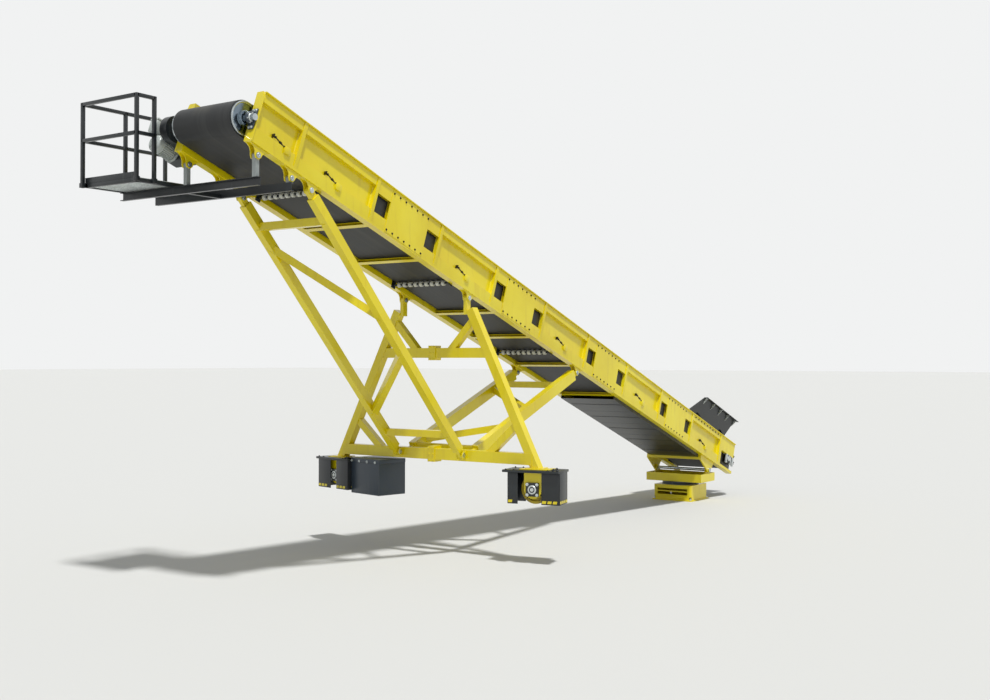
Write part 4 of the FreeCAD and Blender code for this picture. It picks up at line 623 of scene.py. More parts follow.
@dataclass(frozen=True)
class Machine:
    """Main sizes shared by the sub-assemblies, in millimetres and degrees."""

    slope_angle: float = 19.66
    hinge_x: float = -70.0
    hinge_height: float = 637.0
    hinge_drop: float = 201.0
    girder_face: float = 667.0
    girder_middle: float = 607.0
    web_face: float = 612.0
    head_pulley: Span = (14050.0, 280.0)
    tail_pulley: Span = (-800.0, 280.0)
    trestle_x: float = 8592.0
    leg_foot_y: float = 1845.0
    axle_height: float = 1095.0

    @property
    def slope(self) -> Matrix:
        """Gives the place of the conveyor's frame, whose axes run up the slope, across and square to the slope.

        Returns:
            From that frame in millimetres to the main frame in metres.
        """
        lean = math.radians(self.slope_angle)
        x = self.hinge_x - self.hinge_drop * math.sin(lean)
        z = self.hinge_height + self.hinge_drop * math.cos(lean)
        return Matrix.Translation(Vector((x, 0, z)) * MM) @ Matrix.Rotation(-lean, 4, "Y") @ self.level

    @property
    def level(self) -> Matrix:
        """From millimetres to metres."""
        return Matrix.Diagonal((MM, MM, MM, 1.0))

    def bogie(self, side: Side) -> Matrix:
        """Gives the place of a bogie's frame, whose axes run outwards, along the track and up.

        Args:
            side: the bogie's side.

        Returns:
            From that frame in millimetres to the main frame in metres.
        """
        yaw = math.atan2(self.leg_foot_y, self.trestle_x) * side.value
        place = Vector((self.trestle_x, self.leg_foot_y * side.value, 0)) * MM
        return Matrix.Translation(place) @ Matrix.Rotation(yaw, 4, "Z") @ self.level


@dataclass
class Assembly:
    """What the sub-assemblies share: the machine's sizes and the way a finished form is shown."""

    machine: Machine

    def show(
        self, form: Form, name: str, finish: Finish, place: Matrix | None = None, body: str = "conveyor",
        stands_for: Sequence[str] = (), mirrored: bool = False,
    ) -> None:
        """Turns a form into a piece.

        Args:
            form: the form, which is used up.
            name: the piece's name.
            finish: its finish.
            place: from the form's frame to the main frame, the conveyor's frame if left out.
            body: the body it rides on.
            stands_for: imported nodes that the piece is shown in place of.
            mirrored: whether the form is repeated on the machine's other side.
        """
        if mirrored:
            form.both_sides()
        bmesh.ops.recalc_face_normals(form.bm, faces=form.bm.faces[:])
        bmesh.ops.transform(form.bm, matrix=place or self.machine.slope, verts=form.bm.verts[:])
        mesh = bpy.data.meshes.new(name)
        form.bm.to_mesh(mesh)
        form.bm.free()
        mesh.shade_smooth()
        mesh.set_sharp_from_angle(angle=SMOOTH_BELOW)
        mesh.materials.append(finish.material())
        piece = bpy.data.objects.new(name, mesh)
        bpy.context.scene.collection.objects.link(piece)
        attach(piece, body)
        if stands_for:
            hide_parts(*stands_for)
        LOG.info("%s: %d faces on %s", name, len(mesh.polygons), body)


@dataclass
class Girders(Assembly):
    """Cover and lip bolts, idler adjusters, black sheets of painted shade at the web behind the openings, and
    stiffener welds on the two plate girders.
    """

    cover_middles: tuple[float, ...] = (1976, 4976, 7976, 10976)
    cover_face: float = 673.0
    cover_rows: Span = (58, 594)
    cover_half: float = 398.0
    cover_bolts: int = 7
    cover_bolt: float = 17.0
    lip_row: float = 618.0
    lip_bolts: Row = (-108, 148, 9)
    lip_bolt: float = 19.0
    band_top: float = 190.0
    adjusters: tuple[float, ...] = (626, 3626, 6626, 9626, 12626, 13610)
    adjuster: Outline = ((-235, -75), (-140, -75), (-125, -10), (-150, 16), (-235, 16))
    adjuster_depth: Span = (-50, 26)
    rod_ends: tuple[Point, Point] = ((-165, 2, -12), (62, -18, 62))
    rod_radius: float = 8.0
    lock_nuts: tuple[Span, ...] = ((0.10, 0.07), (0.36, 0.14), (0.80, 0.07))
    nut_radius: float = 17.0
    end_plate: Box = ((44, 58), (-52, -6), (34, 82))
    shade_sheet: Span = (435, 717)
    shade_sheet_depth: Span = (0.5, 9)
    shade_sheet_heights: Span = (180, 455)
    ribs: Row = (-274, 1500, 10)
    rib_half: float = 30.0
    weld: float = 9.0
    weld_heights: Span = (194, 531)

    def build(self) -> None:
        """Makes the girders' fittings."""
        self._bolts()
        self._adjusters()
        self._shade_sheets()
        self._welds()

    def _bolts(self) -> None:
        """Makes the bolt rows of the covers and below the lip at the tail."""
        form = Form()
        pitch = 2 * self.cover_half / (self.cover_bolts - 1)
        for middle, row in product(self.cover_middles, self.cover_rows):
            along = spaced(middle - self.cover_half, pitch, self.cover_bolts)
            form.bolts([(u, self.cover_face, row) for u in along], Facing.NEAR, self.cover_bolt)
        face = self.machine.girder_face
        form.bolts([(u, face, self.lip_row) for u in spaced(*self.lip_bolts)], Facing.NEAR, self.lip_bolt)
        self.show(form, "girder_bolts", BLACKENED, mirrored=True)

    def _adjusters(self) -> None:
        """Makes blocks on the lower band that hold the return idlers, with threaded rods, lock nuts and end plates."""
        blocks, rods = Form(), Form()
        for u in self.adjusters:
            at = Vector((u, self.machine.girder_face, self.band_top))
            outline = [(at.x + a, at.z + b) for a, b in self.adjuster]
            blocks.plate(outline, Plane.SIDE, *(at.y + part for part in self.adjuster_depth), edge=5)
            start, end = (at + Vector(tip) for tip in self.rod_ends)
            rods.rod(start, end, self.rod_radius)
            for share, reach in self.lock_nuts:
                rods.rod(start.lerp(end, share), start.lerp(end, share + reach), self.nut_radius, sides=6)
            rods.block(*self.end_plate, edge=3, at=at)
        self.show(blocks, "idler_adjuster_blocks", YELLOW, mirrored=True)
        self.show(rods, "idler_adjuster_rods", BLACKENED, mirrored=True)

    def _shade_sheets(self) -> None:
        """Makes black sheets at the web behind the openings beside each cover, as painted shade for the shadowed
        recess.
        """
        form = Form()
        web = (0, self.machine.web_face, 0)
        # painted shade: dark sheets in the belt's rubber finish over the web, where the openings' recess lies in
        # shadow
        for middle, way in product(self.cover_middles, (-1, 1)):
            along = ordered(*(middle + way * reach for reach in self.shade_sheet))
            form.block(along, self.shade_sheet_depth, self.shade_sheet_heights, edge=3, at=web)
        self.show(form, "hatch_flaps", BELTING, mirrored=True)

    def _welds(self) -> None:
        """Makes fillet welds where the ribs meet the web."""
        form = Form()
        web = self.machine.web_face
        for rib, way in product(spaced(*self.ribs), (-1, 1)):
            u = rib + self.rib_half * way
            corners = ((u, web), (u + self.weld * way, web), (u, web + self.weld))
            form.plate(corners, Plane.TOP, *self.weld_heights)
        self.show(form, "rib_welds", YELLOW, mirrored=True)


@dataclass
class Pulleys(Assembly):
    """Ground end discs, rims and locking rings of the two pulleys, and the head pulley's bearings."""

    recess: float = 514.0
    disc: Outline = ((98, -2), (199, -2), (199, 2), (98, 3))
    rim: Outline = ((186, 1), (198, 1), (198, 7), (195, 10), (186, 7))
    hub_face: float = 541.76
    ring: Outline = ((44, -2), (92, -2), (92, 5), (86, 9), (60, 9), (56, 5), (44, 5))
    ring_depth: float = 9.0
    ring_screws: float = 73.0
    housing_y: float = 612.0
    housing: Outline = (
        (42.5, -20), (68, -20), (74, -15), (74, 10), (70, 16), (62, 20), (52, 20),
        (48, 16), (42.5, 16),
    )
    housing_top: float = 73.0
    housing_screws: float = 61.0
    cap: Outline = ((0, 0), (52, 0), (52, 11), (46, 17), (28, 17), (24, 13), (0, 13))
    foot_face: float = 14022.0
    foot: Box = ((-20, 0), (578, 667), (145, 415))
    foot_bolts: tuple[Span, Span] = ((600, 645), (168, 392))

    def build(self) -> None:
        """Dresses both pulleys and the head bearings."""
        for body, (u, v) in (("head_pulley", self.machine.head_pulley), ("tail_pulley", self.machine.tail_pulley)):
            self._discs(body, u, v)
        self._head_bearings()

    def _discs(self, body: str, u: float, v: float) -> None:
        """Makes a pulley's end discs with their rims, and a ring of clamping screws round each hub.

        Args:
            body: the pulley.
            u: its place up the slope.
            v: its place square to the slope.
        """
        discs, rings, rims = Form(), Form(), Form()
        discs.turned((u, self.recess, v), Facing.NEAR, self.disc, 48)
        rings.turned((u, self.hub_face, v), Facing.NEAR, self.ring)
        screws = (u, self.hub_face + self.ring_depth, v)
        rings.bolts(ring_of(8, self.ring_screws, screws, Plane.SIDE), Facing.NEAR, 15)
        rims.turned((u, self.recess, v), Facing.NEAR, self.rim, 48)
        self.show(discs, body + "_end_discs", POLISHED, body=body, mirrored=True)
        self.show(rings, body + "_locking_rings", POLISHED, body=body, mirrored=True)
        self.show(rims, body + "_rims", BRIGHT, body=body, mirrored=True)

    def _head_bearings(self) -> None:
        """Makes round cast housings on foot plates inside the girders' ends, with end caps, screws and nipples."""
        u, v = self.machine.head_pulley
        y, back = self.housing_y, self.foot_face
        housings, screws, caps = Form(), Form(), Form()
        housings.turned((u, y, v), Facing.NEAR, self.housing)
        housings.block((back, u - 60), (y - 12, y + 34), (v - 66, v + 66), edge=8)
        housings.block(*self.foot, edge=4, at=(back, 0, 0))
        housings.nipple((u, y, v + self.housing_top), Facing.UP, 14)
        screws.bolts(ring_of(6, self.housing_screws, (u, y + 17, v), Plane.SIDE, 0.5), Facing.NEAR, 13)
        screws.bolts([(back, *place) for place in product(*self.foot_bolts)], Facing.HEAD, 20)
        caps.turned((u, y + 16, v), Facing.NEAR, self.cap, 32)
        self.show(housings, "head_bearing_housings", SLATE, stands_for=("head_bearings",), mirrored=True)
        self.show(screws, "head_bearing_bolts", ZINC, mirrored=True)
        self.show(caps, "head_bearing_end_caps", ZINC, mirrored=True)


@dataclass
class TakeUp(Assembly):
    """Bearing inserts, guide strips, bars, a dark backing plate of painted shade behind the slot, screw threads and
    bolts of the tail take-up.
    """

    outer_face: float = 671.0
    end_face: float = -1066.0
    screw_y: float = 639.0
    insert: Outline = ((0, -1), (62, -1), (62, 8), (56, 13), (40, 13), (36, 8), (0, 8))
    strip: Box = ((-60, 60), (-62, -2), (350, 357))
    bars: tuple[float, ...] = (-1062, -930, -735)
    bar: Box = ((0, 56), (-30, 5), (162, 350))
    shade_backing: Box = ((-1030, -400), (596, 603), (62, 345))
    bearing_bolts: tuple[Span, Span] = ((-58, 58), (-66, 44))
    end_bolts: tuple[Span, Span] = ((617, 661), (225, 390))
    bolt: float = 22.0
    threads: Row = (-24, -4, 14)

    def build(self) -> None:
        """Makes the take-up's fittings."""
        u, v = self.machine.tail_pulley
        face, end = self.outer_face, self.end_face
        bright, dark = Form(), Form()
        bright.turned((u, face, v), Facing.NEAR, self.insert, 36)
        bright.block(*self.strip, edge=2, at=(u, face, 0))
        for start in self.bars:
            bright.block(*self.bar, edge=4, at=(start, face, 0))
        # painted shade: a dark plate behind the take-up slot, where the inside lies in shadow
        dark.block(*self.shade_backing, edge=2)
        dark.bolts([(u + a, face, v + b) for a, b in product(*self.bearing_bolts)], Facing.NEAR, self.bolt)
        dark.disc((end - 4, self.screw_y, v), Facing.TAIL, 30, 22, 6)
        dark.bolts([(end, *place) for place in product(*self.end_bolts)], Facing.TAIL, self.bolt)
        for reach in spaced(*self.threads):
            dark.disc((end + reach, self.screw_y, v), Facing.TAIL, 17.5, 2.4, 14)
        self.show(bright, "takeup_guides", ZINC, mirrored=True)
        self.show(dark, "takeup_bolts", BLACKENED, mirrored=True)


@dataclass
class BeltDrive(Assembly):
    """Covers, ribs and bolts of the gear case, and the whole motor with fins, terminal box and fan cowl."""

    gear_face: float = -812.0
    gear_cover: Outline = ((90, 1), (156, 1), (156, -8), (148, -13), (98, -13), (90, -8))
    gear_rib: Box = ((-12, 12), (-804, -700), (158, 178))
    rib_shifts: tuple[float, ...] = (0, 60, 120)
    bevel_end: float = 13600.0
    bevel_lid: Box = ((13614, 13766), (-1080, -830), (209, 223))
    bevel_bolts: tuple[tuple[float, ...], ...] = ((13632, 13748), (-1060, -955, -850), (223,))
    motor_u: Span = (13804, 14000)
    motor_axis: Span = (-1000, 116)
    case: Outline = (
        (0, -24), (122, -24), (122, -3), (118, 0), (98, 0), (98, 196), (0, 196),
    )
    fins: int = 28
    fin: Point = (184, 3.5, 20)
    fin_radius: float = 104.0
    cowl: Outline = (
        (0, 0), (116, 0), (119, 3), (119, 14), (116, 17), (116, 60), (111, 80),
        (98, 95), (74, 106), (46, 112), (0, 115),
    )
    grille: tuple[Span, ...] = ((22, 110), (48, 106), (74, 100))
    terminal_box: tuple[tuple[Box, float], ...] = (
        (((13895, 13992), (-1045, -955), (196, 260)), 4),
        (((13895, 14150), (-1065, -985), (236, 262)), 4),
        (((14000, 14170), (-1095, -955), (240, 406)), 6),
        (((13995, 14175), (-1100, -950), (394, 420)), 5),
    )
    terminal_bolts: tuple[tuple[float, ...], ...] = ((14014, 14156), (-1083, -967), (420,))
    glands: tuple[Point, ...] = ((14045, -1091, 330), (14125, -1091, 330))
    gland: Outline = ((0, 0), (24, 0), (24, 16), (19, 20), (19, 34), (12, 40), (0, 40))

    def build(self) -> None:
        """Makes the drive's fittings and its motor."""
        u, v = self.machine.head_pulley
        dark, bright, grey = Form(), Form(), Form()
        dark.turned((u, self.gear_face, v), Facing.NEAR, self.gear_cover)
        bright.bolts(ring_of(10, 122, (u, self.gear_face - 13, v), Plane.SIDE), Facing.FAR, 18)
        bright.bolts(ring_of(6, 66, (u, self.gear_face - 18, v), Plane.SIDE), Facing.FAR, 14)
        for shift in self.rib_shifts:
            dark.block(*self.gear_rib, edge=4, at=(u - shift, 0, v - shift / 3))
        dark.block(*self.bevel_lid, edge=4)
        bright.bolts(product(*self.bevel_bolts), Facing.UP, 16)
        dark.disc((self.bevel_end, *self.motor_axis), Facing.TAIL, 70, 16, 32, top=64)
        bright.bolts(ring_of(6, 50, (self.bevel_end - 16, *self.motor_axis), Plane.END), Facing.TAIL, 14)
        bright.bolts(ring_of(8, 112, (self.motor_u[0], *self.motor_axis), Plane.END, 0.2), Facing.HEAD, 14)
        self._motor(grey)
        bright.bolts(product(*self.terminal_bolts), Facing.UP, 12)
        self.show(dark, "gear_case_covers", BLACK)
        self.show(bright, "drive_bolts", ZINC)
        self.show(grey, "drive_motor_dressed", PALE_GREY, stands_for=("drive_motor", "drive_fan_cowl"))

    def _motor(self, grey: Form) -> None:
        """Makes flange, finned case, domed fan cowl with its grille, and terminal box with its glands.

        Args:
            grey: takes them.
        """
        start, end = self.motor_u
        axis = self.motor_axis
        grey.turned((start, *axis), Facing.HEAD, self.case)
        middle = Matrix.Translation(((start + end) / 2, *axis))
        lift = Matrix.Translation((0, 0, self.fin_radius))
        size = Matrix.Diagonal((*self.fin, 1))
        for number in range(self.fins):
            made = bmesh.ops.create_cube(grey.bm, size=1)["verts"]
            spin = middle @ Matrix.Rotation(math.tau * number / self.fins, 4, "X")
            bmesh.ops.transform(grey.bm, matrix=spin @ lift @ size, verts=made)
        grey.turned((end, *axis), Facing.HEAD, self.cowl)
        for radius, reach in self.grille:
            ring = ((radius, 0), (radius + 6, 0), (radius + 6, 9), (radius, 9))
            grey.turned((end + reach, *axis), Facing.HEAD, ring, 32)
        for spans, edge in self.terminal_box:
            grey.block(*spans, edge)
        for at in self.glands:
            grey.turned(at, Facing.FAR, self.gland, 16)


@dataclass
class Hopper(Assembly):
    """Gusset plates, rim bolts and skirt clamps of the feed hopper."""

    gussets: Row = (-957.5, 392.5, 5)
    gusset: Outline = ((601, 1179), (562.0922, 1055), (663, 1179))
    gusset_faces: tuple[Span, ...] = ((-9, -4.5), (4.5, 9))
    rim_top: float = 1190.0
    side_bolts: Row = (-935, 1545 / 11, 12)
    side_bolts_y: float = 635.0
    end_bolts: Row = (90, 160, 4)
    end_bolts_x: float = -1032.5
    bolt: float = 20.0
    clamp: Box = ((-740, 930), (414, 422), (632, 664))

    def build(self) -> None:
        """Makes pale plates on both faces of the rim's gussets, bolts round the rim and clamps along the foot."""
        plates, bolts, clamps = Form(), Form(), Form()
        for u, (low, high) in product(spaced(*self.gussets), self.gusset_faces):
            plates.plate(self.gusset, Plane.END, u + low, u + high)
        bolts.bolts([(u, self.side_bolts_y, self.rim_top) for u in spaced(*self.side_bolts)], Facing.UP, self.bolt)
        bolts.bolts([(self.end_bolts_x, y, self.rim_top) for y in spaced(*self.end_bolts)], Facing.UP, self.bolt)
        clamps.block(*self.clamp, edge=2)
        self.show(plates, "hopper_gusset_plates", ZINC, mirrored=True)
        self.show(bolts, "hopper_rim_bolts", ZINC, mirrored=True)
        self.show(clamps, "hopper_skirt_clamps", ZINC, mirrored=True)


@dataclass
class Trestle(Assembly):
    """Pin ends and splice bolts of the trestle and its stays."""

    fork_pins: tuple[Span, ...] = (
        (13815, -100), (13215, -100), (12850, -85), (9242, -75), (5876, -85),
    )
    fork_pin: float = 26.0
    stay_foot: Span = (139, 1524.5)
    stay_pin: float = 40.0
    pin_face: float = 54.0
    splices: tuple[Span, ...] = ((3046, 74), (1512.5, 89))
    splice_bolts: tuple[tuple[float, ...], ...] = ((-36, 36), (-92, 0, 92))
    splice_bolt: float = 17.0

    def build(self) -> None:
        """Makes the trestle's fittings."""
        self._pins()
        self._splices()

    def _pins(self) -> None:
        """Makes the pins' ends, on both faces of each fork and stay."""
        high, low = Form(), Form()
        for facing in (Facing.NEAR, Facing.FAR):
            face = self.machine.girder_middle + self.pin_face * facing.way
            for u, v in self.fork_pins:
                self._pin_end(high, (u, face, v), facing, self.fork_pin)
            for way in (1, -1):
                x = self.machine.trestle_x + self.stay_foot[0] * way
                self._pin_end(low, (x, face, self.stay_foot[1]), facing, self.stay_pin)
        self.show(high, "fork_pin_ends", BRIGHT, mirrored=True)
        self.show(low, "stay_foot_pin_ends", BRIGHT, self.machine.level, mirrored=True)

    def _pin_end(self, form: Form, at: Point, facing: Facing, radius: float) -> None:
        """Makes a turned collar with a nipple in its middle.

        Args:
            form: takes them.
            at: middle of the pin head's face.
            facing: where the head looks.
            radius: the collar's radius.
        """
        section = (
            (0, -1), (radius, -1), (radius, 3), (radius - 3, 6), (12, 6), (9, 3), (7, 3),
            (5, 12), (0, 13),
        )
        form.turned(at, facing, section, 20)

    def _splices(self) -> None:
        """Makes the bolts through the splice collars, on both faces of both beams."""
        form = Form()
        for (height, face), facing in product(self.splices, (Facing.HEAD, Facing.TAIL)):
            x = self.machine.trestle_x + face * facing.way
            form.bolts([(x, y, height + z) for y, z in product(*self.splice_bolts)], facing, self.splice_bolt)
        self.show(form, "splice_bolts", YELLOW, self.machine.level)


@dataclass
class Bogie(Assembly):
    """Plates, guard, bearings, tread and warning dashes of one of the two wheels; its frame is Machine.bogie's."""

    side: Side = Side.NEAR
    tread: Outline = ((211, -46), (215.6, -46), (215.6, 46), (211, 46))
    hub_face: float = 22.0
    hub_bolts: float = 118.0
    insert: Outline = (
        (0, -1), (64, -1), (64, 6), (58, 12), (44, 12), (41, 1), (29, 1), (26, 12),
        (0, 14),
    )
    groove: Outline = ((29, 0), (42, 0), (42, 6), (29, 6))
    bearing_foot: float = 154.0
    bearing_face: float = 188.0
    bearing_half: float = 98.0
    bearing_bolts: Span = (-74, 74)
    plate_x: Span = (-225, 225)
    plate_y: Span = (-446, 412)
    plate_z: Span = (1335, 1370)
    plate_bolts: tuple[tuple[float, ...], ...] = ((-195, 195), (-401, -276, 242), (1370,))
    pad: Box = ((-150, 150), (-215, 240), (1370, 1384))
    clamps_y: Span = (317, 377)
    clamp: Box = ((135, 217), (-12, 12), (1370, 1396))
    clamp_bolt: Point = (175, 0, 1396)
    guard_x: Span = (-170, 170)
    guard_y: Span = (-382, 410)
    guard_bottom: float = 885.0
    guard_sheet: float = 8.0
    guard_window: Span = (-225, 136)
    far_face: float = 220.0
    far_window: Span = (-50, 105)
    dash: Outline = ((0, 18), (60, 18), (68, 56), (8, 56))
    dash_pitch: float = 82.0
    dash_depth: float = 3.0

    def build(self) -> None:
        """Makes the bogie's fittings, whose names start with its side."""
        tag, place = self.side.name.lower(), self.machine.bogie(self.side)
        self._wheel(tag, place)
        self._bearings(tag, place)
        self._guard(tag, place)

    def _wheel(self, tag: str, place: Matrix) -> None:
        """Makes the tread rolled bright and the rings of hub bolts, which turn with the wheel.

        Args:
            tag: the side's name.
            place: from the bogie's frame to the main frame.
        """
        tread, bolts = Form(), Form()
        height = self.machine.axle_height
        tread.turned((0, 0, height), Facing.HEAD, self.tread, 64)
        for facing in (Facing.HEAD, Facing.TAIL):
            at = (self.hub_face * facing.way, 0, height)
            bolts.bolts(ring_of(8, self.hub_bolts, at, Plane.END), facing, 22)
        self.show(tread, tag + "_wheel_tread", BRIGHT, place, tag + "_wheel")
        self.show(bolts, tag + "_wheel_hub_bolts", BLACKENED, place, tag + "_wheel")

    def _bearings(self, tag: str, place: Matrix) -> None:
        """Makes the bearings' bright inserts and corner bolts, on both sides of a wheel.

        Args:
            tag: the side's name.
            place: from the bogie's frame to the main frame.
        """
        inserts, bolts = Form(), Form()
        height = self.machine.axle_height
        for facing in (Facing.HEAD, Facing.TAIL):
            x = self.bearing_face * facing.way
            inserts.turned((x, 0, height), facing, self.insert, 36)
            corners = [(x, a, height + b) for a, b in product(self.bearing_bolts, repeat=2)]
            bolts.bolts(corners, facing, 24)
        self.show(inserts, tag + "_bearing_inserts", ZINC, place)
        self.show(bolts, tag + "_bearing_bolts", ZINC, place)

    def _dashes(self, form: Form, plane: Plane, span: Span, face: float, proud: float) -> None:
        """Makes a row of slanted yellow dashes along a lower edge.

        Args:
            form: takes them.
            plane: the face's plane.
            span: where the row starts and ends.
            face: the face.
            proud: how far they stand beyond it, with its sign.
        """
        count = int((span[1] - span[0] - 12) / self.dash_pitch)
        for start in spaced(span[0] + 8, self.dash_pitch, count):
            outline = [(start + a, self.guard_bottom + b) for a, b in self.dash]
            form.plate(outline, plane, face, face + proud)

    def _guard(self, tag: str, place: Matrix) -> None:
        """Makes the folded guard with its windows and dashes, the bolted plate over it and the bearing housings.

        Args:
            tag: the side's name.
            place: from the bogie's frame to the main frame.
        """
        shell, dashes, bolts, pads, clamps = Form(), Form(), Form(), Form(), Form()
        (start, end), (inner, outer), window = self.guard_y, self.guard_x, self.guard_window
        near = self.side is Side.NEAR
        if not near:
            outer, window = self.far_face, self.far_window
        heights = (self.guard_bottom, self.plate_z[0])
        for face, way, opening in ((outer, 1, window), (inner, -1, self.guard_window)):
            for span in ((start, opening[0]), (opening[1], end)):
                shell.block(ordered(face, face - self.guard_sheet * way), span, heights, edge=2)
                self._dashes(dashes, Plane.END, span, face, self.dash_depth * way)
        for face, way in ((start, -1), (end, 1)):
            shell.block((inner, outer), ordered(face, face - self.guard_sheet * way), heights, edge=2)
            self._dashes(dashes, Plane.SIDE, (inner, outer), face, self.dash_depth * way)
        shell.block(self.plate_x, self.plate_y, self.plate_z, edge=4)
        bolts.bolts(product(*self.plate_bolts), Facing.UP, 20)
        pads.block(*self.pad, edge=3)
        for y in self.clamps_y:
            clamps.block(*self.clamp, edge=4, at=(0, y, 0))
            bolts.bolts([Vector(self.clamp_bolt) + Vector((0, y, 0))], Facing.UP, 16)
        half, height = self.bearing_half, self.machine.axle_height
        for facing in (Facing.HEAD, Facing.TAIL):
            face = self.bearing_face * facing.way
            clamps.block(
                ordered(self.bearing_foot * facing.way, face), (-half, half), (height - half, height + half), edge=9.0
            )
            clamps.turned((face, 0, height), facing, self.groove, 30)
        guards = ("wheel_guard_" + tag,) + (("bogie_plates",) if near else ())
        self.show(shell, tag + "_wheel_guard", BLACK, place, stands_for=guards)
        self.show(dashes, tag + "_guard_dashes", YELLOW, place)
        self.show(bolts, tag + "_bogie_bolts", BLACKENED, place)
        self.show(pads, tag + "_foot_pad", YELLOW, place)
        bearings = ("wheel_bearings",) if near else ()
        self.show(clamps, tag + "_bearing_housings", BLACK, place, stands_for=bearings)


@dataclass
class DriveBox(Assembly):
    """The travel drive's sheet-steel housing beside the far wheel."""

    x: Span = (-362, 150)
    y: Span = (420, 1120)
    z: Span = (847, 1335)
    lid: Box = ((-370, 158), (412, 1128), (1335, 1402))
    lid_bolts: tuple[float, ...] = (434, 628, 828, 1031)
    lid_bolts_z: float = 1354.0
    foot: Box = ((-365, 153), (420, 1123), (847, 871))
    seams: tuple[Box, ...] = (
        ((-365, -350), (1119, 1123), (867, 1336)), ((138, 153), (1119, 1123), (867, 1336)),
        ((149, 153), (420, 435), (867, 1336)), ((149, 153), (1108, 1123), (867, 1336)),
    )

    def build(self) -> None:
        """Makes the housing with its lid, foot, seams and bolts."""
        bolts, shell = Form(), Form()
        shell.block(self.x, self.y, self.z, edge=5)
        shell.block(*self.lid, edge=6)
        for x, facing in ((self.lid[0][1], Facing.HEAD), (self.lid[0][0], Facing.TAIL)):
            bolts.bolts([(x, y, self.lid_bolts_z) for y in self.lid_bolts], facing, 22)
        shell.block(*self.foot, edge=2)
        for seam in self.seams:
            shell.block(*seam, edge=1.5)
        place = self.machine.bogie(Side.FAR)
        self.show(bolts, "drive_box_bolts", ZINC, place)
        self.show(shell, "drive_box_shell", SLATE, place, stands_for=("travel_drive_box",))


@dataclass
class Platform(Assembly):
    """Deck, toe boards and square-tube handrails of the maintenance platform on the far side."""

    x: Span = (12202, 13474)
    y: Span = (-1871, -861)
    beam_top: float = 5125.0
    frame: float = 50.0
    sheet: float = 6.0
    deck_top: float = 5181.0
    toe: float = 5.0
    toe_top: float = 5251.0
    rail: float = 44.0
    rail_tops: Span = (6209, 5745)
    rail_return: float = 267.0
    foot_edge: float = 8.0
    foot_height: float = 60.0
    rib_pitch: float = 84.0

    def build(self) -> None:
        """Makes the platform."""
        self._deck()
        self._rails()

    def _deck(self) -> None:
        """Makes the angle frame with its toe boards, and the zinc-coated deck sheet with ribs underneath."""
        frame, sheet = Form(), Form()
        width, low, top = self.frame, self.beam_top, self.deck_top
        under = top - self.sheet
        for y in both_ends(self.y, width):
            frame.block(self.x, y, (low, under), edge=2)
        for x in both_ends(self.x, width):
            frame.block(x, self.y, (low, under), edge=2)
        frame.block(self.x, both_ends(self.y, self.toe)[0], (under, self.toe_top), edge=1.5)
        for x in both_ends(self.x, self.toe):
            frame.block(x, self.y, (under, self.toe_top), edge=1.5)
        (x0, x1), (y0, y1) = self.x, self.y
        sheet.block((x0 + 6, x1 - 6), (y0 + 6, y1 - 1), (under, top), edge=1)
        sheet.block((x0 + width - 1, x1 - width + 1), (y0 + width - 1, y1 - width + 1), (low + 12, low + 18))
        count = int((y1 - y0 - 2 * width) / self.rib_pitch)
        for y in spaced(y0 + width + self.rib_pitch - 20, self.rib_pitch, count):
            sheet.block((x0 + width, x1 - width), (y, y + 22), (low + 4, low + 14), edge=2)
        boards = ("platform_deck", "platform_toe_boards")
        self.show(frame, "platform_frame", BLACK, self.machine.level, stands_for=boards)
        self.show(sheet, "platform_deck_sheet", ZINC, self.machine.level)

    def _rails(self) -> None:
        """Makes posts and two levels of rail from square tube, open towards the girder."""
        form = Form()
        half = self.rail / 2
        tube = (-half, half)
        foot = (-half - self.foot_edge, half + self.foot_edge)
        head, outer, inner = self.x[1] + half, self.y[0] - half, self.y[1] + half
        tail = self.x[0] - half
        posts = (
            (head - self.rail_return, inner), (head, inner), (head, outer), ((head + tail) / 2, outer), (tail, outer),
            (tail, inner),
        )
        for x, y in posts:
            at = (x, y, self.beam_top)
            form.block(tube, tube, (0, self.rail_tops[0] - self.beam_top), edge=4, at=at)
            form.block(foot, foot, (0, self.foot_height), edge=2, at=at)
        for top in self.rail_tops:
            for (x0, y0), (x1, y1) in zip(posts, posts[1:]):
                along, across = ordered(x0, x1), ordered(y0, y1)
                if x0 == x1:
                    along = (x0 - half, x0 + half)
                else:
                    across = (y0 - half, y0 + half)
                form.block(along, across, (top - self.rail, top), edge=4)
        self.show(form, "platform_rails", BLACK, self.machine.level, stands_for=("platform_handrails",))


@dataclass
class ReturnIdlers(Assembly):
    """Disc rollers that carry the belt's lower run: pale rubber discs, their paleness partly a painted highlight, on a
    dark tube.
    """

    places: tuple[float, ...] = (626, 3626, 6626, 9626, 12626)
    height: float = 15.42
    tube: Outline = ((0, -560), (17, -560), (17, 560), (0, 560))
    discs: Row = (-416, 104, 9)
    disc: Outline = ((16, -26), (33, -26), (38, -21), (38, 21), (33, 26), (16, 26))

    def build(self) -> None:
        """Makes all the discs and tubes."""
        discs, tubes = Form(), Form()
        for u in self.places:
            tubes.turned((u, 0, self.height), Facing.NEAR, self.tube, 12)
            for y in spaced(*self.discs):
                discs.turned((u, y, self.height), Facing.NEAR, self.disc, 20)
        # pale discs: their colour is partly a painted highlight of the lit disc faces
        self.show(discs, "return_idler_discs", PALE_RUBBER, stands_for=("return_idlers",))
        self.show(tubes, "return_idler_tubes", BLACK)


